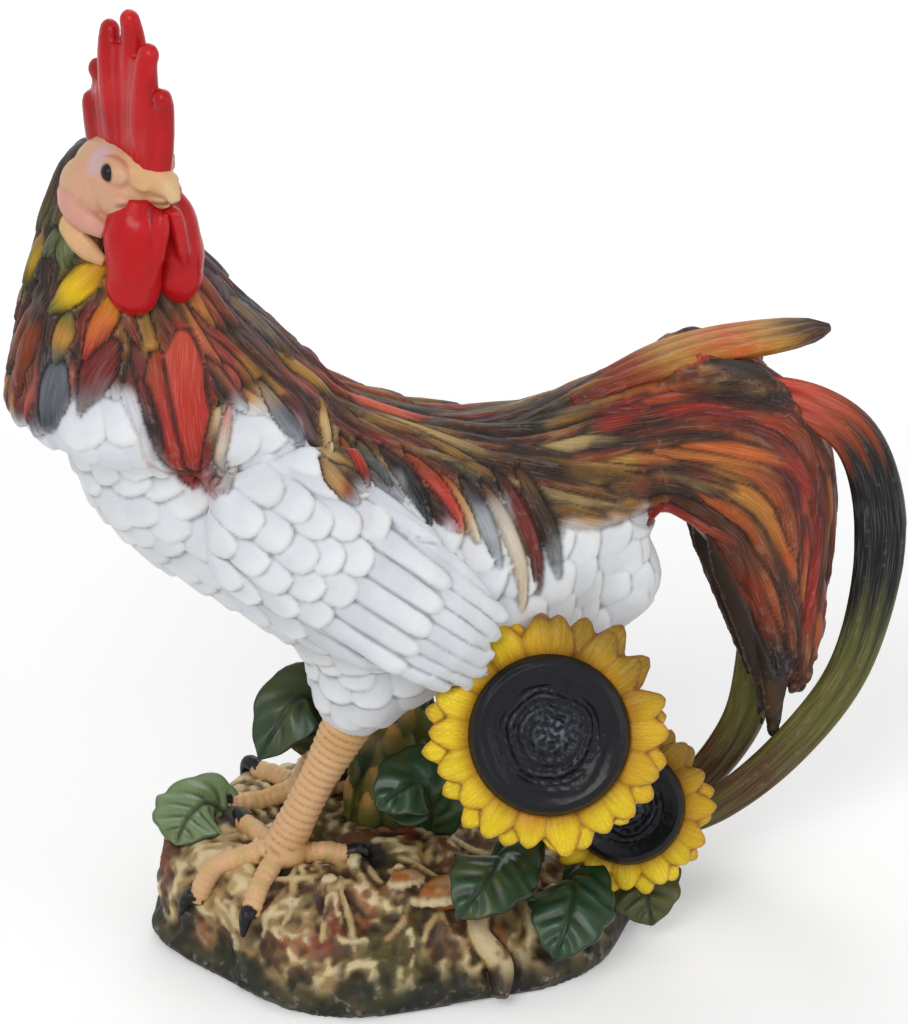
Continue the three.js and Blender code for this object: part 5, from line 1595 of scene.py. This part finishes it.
# Rock mound: lumps and cracks on the solid, with pebbles, straw, a root and bracket fungus
def base():
    clay = Clay()
    points, quads = melted(cad_shell(Clay(), "base_rock", "left_leg_rod", "right_leg_rod"), 1.8)
    points = relaxed(points, quads, 6)
    normals = normals_of(points, quads)
    free = smoothstep(0.5, 7, points[:, 2])
    bend = points + 9 * np.stack([lobes(points, 0.03, k) for k in (31, 37, 43)], 1)
    ridges = 1 - 2 * np.abs(lobes(bend, 0.035, 6))
    folds = 1 - 2 * np.abs(lobes(bend, 0.085, 2))
    grit = 1 - 2 * np.abs(lobes(bend, 0.19, 14))
    points = points + normals * (free * (3.4 * ridges + 2.0 * folds + 1.0 * grit - 3.0))[:, None]
    points[:, 2] = np.maximum(points[:, 2], 0)
    clay.add(points, quads, colour=PAINT["brown"])
    spread = np.random.default_rng(8)
    for _ in range(46):
        a = 2 * math.pi * spread.random()
        share = 0.55 + 0.4 * spread.random()
        x, y = 118 * share * math.cos(a), 92 * share * math.sin(a)
        z = ground(x, y)
        if z > 9:
            size = 7 + 12 * spread.random()
            axes = unit(np.linalg.qr(spread.normal(size=(3, 3)))[0])
            sizes = (size * 1.5, size, 0.75 * size)
            egg(clay, (x, y, z - 0.18 * size), axes, sizes, PAINT["brown"], turns=14, rows=9)
    for k in range(14):
        x, y = -86 + 6.4 * k + 4 * spread.random(), -26 - 30 * spread.random()
        a = -1.7 + 0.5 * spread.normal()
        spots = []
        for _ in range(8):
            a += 0.22 * spread.normal()
            x, y = x + 5 * math.cos(a), y + 5 * math.sin(a)
            spots.append((x, y, ground(x, y) + 1.2))
        if min(q[2] for q in spots) > 14:
            straw = tinted(PAINT["sand"], "brown", 0.25)
            rope(clay, spots, [0.7, 1.4, 1.7, 1.4, 0.7], count=30, ring=8, colour=straw, brush=0.8)
    root = [(2, -54, 45), (12, -71, 39), (9, -88, 31), (17, -101, 19), (13, -112, 8)]
    rope(clay, root, [4, 6.5, 6, 7, 5], count=30, colour=tinted(PAINT["brown"], "rust", 0.5))
    cap = tinted(PAINT["rust"], "ochre", 0.4)
    for x, y, size in ((-2, -66, 34), (-22, -58, 18), (-34, 72, 28), (60, 60, 24)):
        z = ground(x, y)
        out = unit((0.1, math.copysign(1, y), 0.35))
        side = unit(np.cross((0, 0, 1), out))
        axes = np.array([side, out, np.cross(side, out)])
        egg(clay, (x, y, z + 1), axes, (size, 0.8 * size, 0.5 * size), cap)
        for k in range(9):
            a = math.pi * (k + 0.5) / 9
            q = np.array([x, y, z + 1]) + axes[0] * (0.52 * size * math.cos(a))
            q = q + axes[1] * (0.42 * size * math.sin(a))
            sizes = (0.2 * size, 0.14 * size, 0.16 * size)
            egg(clay, q - (0, 0, 1.5), axes, sizes, PAINT["cream"], turns=12, rows=8)

    def dress(points, tags, hollow):
        z = points[:, 2]
        broad, small = lobes(points, 0.022, 7), lobes(points, 0.07, 3)
        fine = lobes(points, 0.21, 5)
        up = smoothstep(-0.12, 0.16, small + 0.4 * fine)
        rock = mixed(PAINT["brown"], tinted(PAINT["sand"], "brown", 0.45), up)
        rock = tinted(rock, "sand", 0.6 * smoothstep(0.0, 0.24, broad + 0.2 * fine) * smoothstep(16, 40, z))
        rock = tinted(rock, "moss", 0.65 * smoothstep(0.1, 0.28, 0.25 * fine - broad))
        rock = tinted(rock, "rust", 0.5 * smoothstep(0.28, 0.42, lobes(points, 0.035, 12) + 0.2 * fine))
        own = smoothstep(0.03, 0.25, np.abs(tags[:, COLOUR] - PAINT["brown"]).sum(1))
        c = mixed(rock, tags[:, COLOUR], own)
        dry = smoothstep(-0.05, -0.3, hollow) * smoothstep(-0.25, 0.0, small + 0.4 * fine)
        dry = dry * smoothstep(10, 24, z) * (1 - 0.6 * own)
        c = tinted(c, "cream", 0.9 * dry)
        # Painted shade: umber in the hollows
        c = shade_hollows(c, hollow, "umber", 0.5, 0.95)
        # Painted shade: darker towards the bottom, pine green and then black close to the floor
        c = tinted(c, "pine", 0.85 * (1 - smoothstep(12, 26, z + 9 * small)))
        c = tinted(c, "black", 0.9 * (1 - smoothstep(3, 12, z + 5 * small)))
        for tip in CLAW_TIPS:
            far = np.linalg.norm((points - tip) * (1, 1, 0.8), axis=1)
            c = tinted(c, "black", 0.92 * (1 - smoothstep(6, 13, far + 3 * small)))
        return c

    points, quads = melted(clay, 1.4)
    points = relaxed(points, quads, 1)
    points[:, 2] = np.where(points[:, 2] < 0.8, 0.0, points[:, 2])
    hollow = hollows(points, quads, 12)
    tags = tags_at(clay, points)
    tags[:, COLOUR] = relaxed(tags[:, COLOUR], quads, 2)
    c = dress(points, tags, hollow)
    piece("rock_casting", points, quads, c, ROCK, ["base_rock"], None, hollow)


SKIN = painted("painted_skin", shine=0.2, rough=0.38, coat=0.06, streak=0.0, grain=0.12, wear=0.15, pits=0.2)
RED = painted("painted_comb", shine=0.16, rough=0.28, coat=0.1, streak=0.0, grain=0.1, wear=0.1, pits=0.3)
GLOSS = painted("gloss_black", rough=0.26, coat=0.08, streak=0.0, grain=0.08, wear=0.0, pits=0.12, shine=0.15)
PETAL = painted(
    "painted_petal", rough=0.38, coat=0.04, streak=0.35, grain=0.1, wear=0.1, barbs=0.5, pits=0.15, shine=0.16
)
LEAF = painted("painted_leaf", rough=0.34, coat=0.15, streak=0.0, grain=0.2, wear=0.2, pits=0.2)
ROCK = painted("painted_rock", rough=0.5, coat=0.06, streak=0.0, grain=0.3, wear=0.25, pits=0.7)

head()
comb()
for name, (_, side) in KNEES.items():
    wattle(name, side)
    leg(name)
flower("large_flower", radius=40, petal=20, count=18)
flower("small_flower", radius=30, petal=15, count=16)
for name, (line, tone) in LEAVES.items():
    leaf(name, line, tone)
stem("large_flower")
stem("small_flower")
stump()
base()


# Rods and dowels inside
def brushed(name, colour, metal, rough, length, across):
    n = Nodes(name)
    place = n.make("ShaderNodeTexCoord").outputs["Object"]
    lines = n.noise(n.stretch(place, (across, across, length)), 1.0, 4.0)
    dark = tuple(np.asarray(colour) * 0.6)
    n.link(n.mix("MIX", n.span(lines, 0.3, 0.7, 0, 1), dark, tuple(colour)), n.shader.inputs["Base Color"])
    n.link(n.span(lines, 0.3, 0.7, rough - 0.1, rough + 0.12), n.shader.inputs["Roughness"])
    n.shader.inputs["Metallic"].default_value = metal
    n.link(n.bump(lines, 0.0002, 0.3), n.shader.inputs["Normal"])
    return n.material


STEEL = brushed("brushed_steel", linear((176, 178, 182)), metal=1.0, rough=0.35, length=900, across=40)
WOOD = brushed("dowel_wood", linear((196, 158, 108)), metal=0.0, rough=0.6, length=900, across=60)
for name in RODS:
    NODES[name].material_slots[0].material = WOOD if "dowel" in name else STEEL


# Stage: pale floor, soft light and the camera, in metres and watts
FLOOR_HALF = 4
SKY_LIGHT = 0.52
LAMPS = (
    ("key", (-0.9, -1.3, 1.7), 17, 1.0),
    ("fill", (1.3, -1.1, 1.0), 5, 1.2),
    ("rim", (0.5, 1.4, 1.5), 7.5, 1.0),
)
LAMPS_AIM = Vector((0.0, 0.0, 0.22))


def stage():
    far = FLOOR_HALF
    corners = [(-far, -far, 0), (far, -far, 0), (far, far, 0), (-far, far, 0)]
    floor = mesh_of("floor", corners, [(0, 1, 2, 3)])
    obj = bpy.data.objects.new("floor", floor)
    bpy.context.scene.collection.objects.link(obj)
    n = Nodes("floor_paper")
    place = n.make("ShaderNodeTexCoord").outputs["Object"]
    tone = n.noise(place, 3, 2)
    paper = n.mix("MIX", n.span(tone, 0.3, 0.7, 0, 1), (0.86, 0.86, 0.86), (0.89, 0.89, 0.885))
    n.link(paper, n.shader.inputs["Base Color"])
    n.shader.inputs["Roughness"].default_value = 0.8
    path = n.make("ShaderNodeLightPath").outputs
    shown = n.math("MAXIMUM", path["Is Camera Ray"], path["Is Glossy Ray"])
    shown = n.math("MAXIMUM", shown, path["Is Transmission Ray"])
    n.shader.inputs["Emission Color"].default_value = (1, 1, 1, 1)
    away = n.make("ShaderNodeVectorMath", operation="LENGTH")
    n.link(place, away.inputs[0])
    glow = n.span(away.outputs["Value"], 0.6, 2.2, 0.22, 0.7)
    n.link(n.math("MULTIPLY", shown, glow), n.shader.inputs["Emission Strength"])
    floor.materials.append(n.material)
    world = bpy.data.worlds.new("studio")
    bpy.context.scene.world = world
    world.use_nodes = True
    tree = world.node_tree
    back = tree.nodes["Background"]
    back.inputs["Color"].default_value = (1, 1, 1, 1)
    back.inputs["Strength"].default_value = SKY_LIGHT
    seen = tree.nodes.new("ShaderNodeBackground")
    seen.inputs["Color"].default_value = (1, 1, 1, 1)
    seen.inputs["Strength"].default_value = 1.0
    ray = tree.nodes.new("ShaderNodeLightPath").outputs
    mix = tree.nodes.new("ShaderNodeMixShader")
    share = ray["Is Camera Ray"]
    for other in ("Is Glossy Ray", "Is Transmission Ray"):
        most = tree.nodes.new("ShaderNodeMath")
        most.operation = "MAXIMUM"
        tree.links.new(share, most.inputs[0])
        tree.links.new(ray[other], most.inputs[1])
        share = most.outputs["Value"]
    tree.links.new(share, mix.inputs["Fac"])
    tree.links.new(back.outputs["Background"], mix.inputs[1])
    tree.links.new(seen.outputs["Background"], mix.inputs[2])
    tree.links.new(mix.outputs["Shader"], tree.nodes["World Output"].inputs["Surface"])
    for name, place, power, size in LAMPS:
        lamp = bpy.data.lights.new(name, "AREA")
        lamp.energy = power
        lamp.size = size
        o = bpy.data.objects.new(name, lamp)
        bpy.context.scene.collection.objects.link(o)
        o.location = place
        o.rotation_mode = "QUATERNION"
        o.rotation_quaternion = (LAMPS_AIM - Vector(place)).to_track_quat("-Z", "Y")


AZIMUTH = math.radians(-15)
ELEVATION = math.radians(27)
TARGET = Vector((0.0193, 0.0, 0.2278))
DISTANCE = 1.718
LENS = 119.5
SENSOR = 36


def camera():
    data = bpy.data.cameras.new("camera")
    data.lens = LENS
    data.sensor_width = SENSOR
    obj = bpy.data.objects.new("camera", data)
    bpy.context.scene.collection.objects.link(obj)
    level = math.cos(ELEVATION)
    back = Vector((math.sin(AZIMUTH) * level, -math.cos(AZIMUTH) * level, math.sin(ELEVATION)))
    obj.location = TARGET + back * DISTANCE
    obj.rotation_mode = "QUATERNION"
    obj.rotation_quaternion = (-back).to_track_quat("-Z", "Y")
    bpy.context.scene.camera = obj


stage()
camera()
bpy.context.scene.view_settings.view_transform = "Standard"
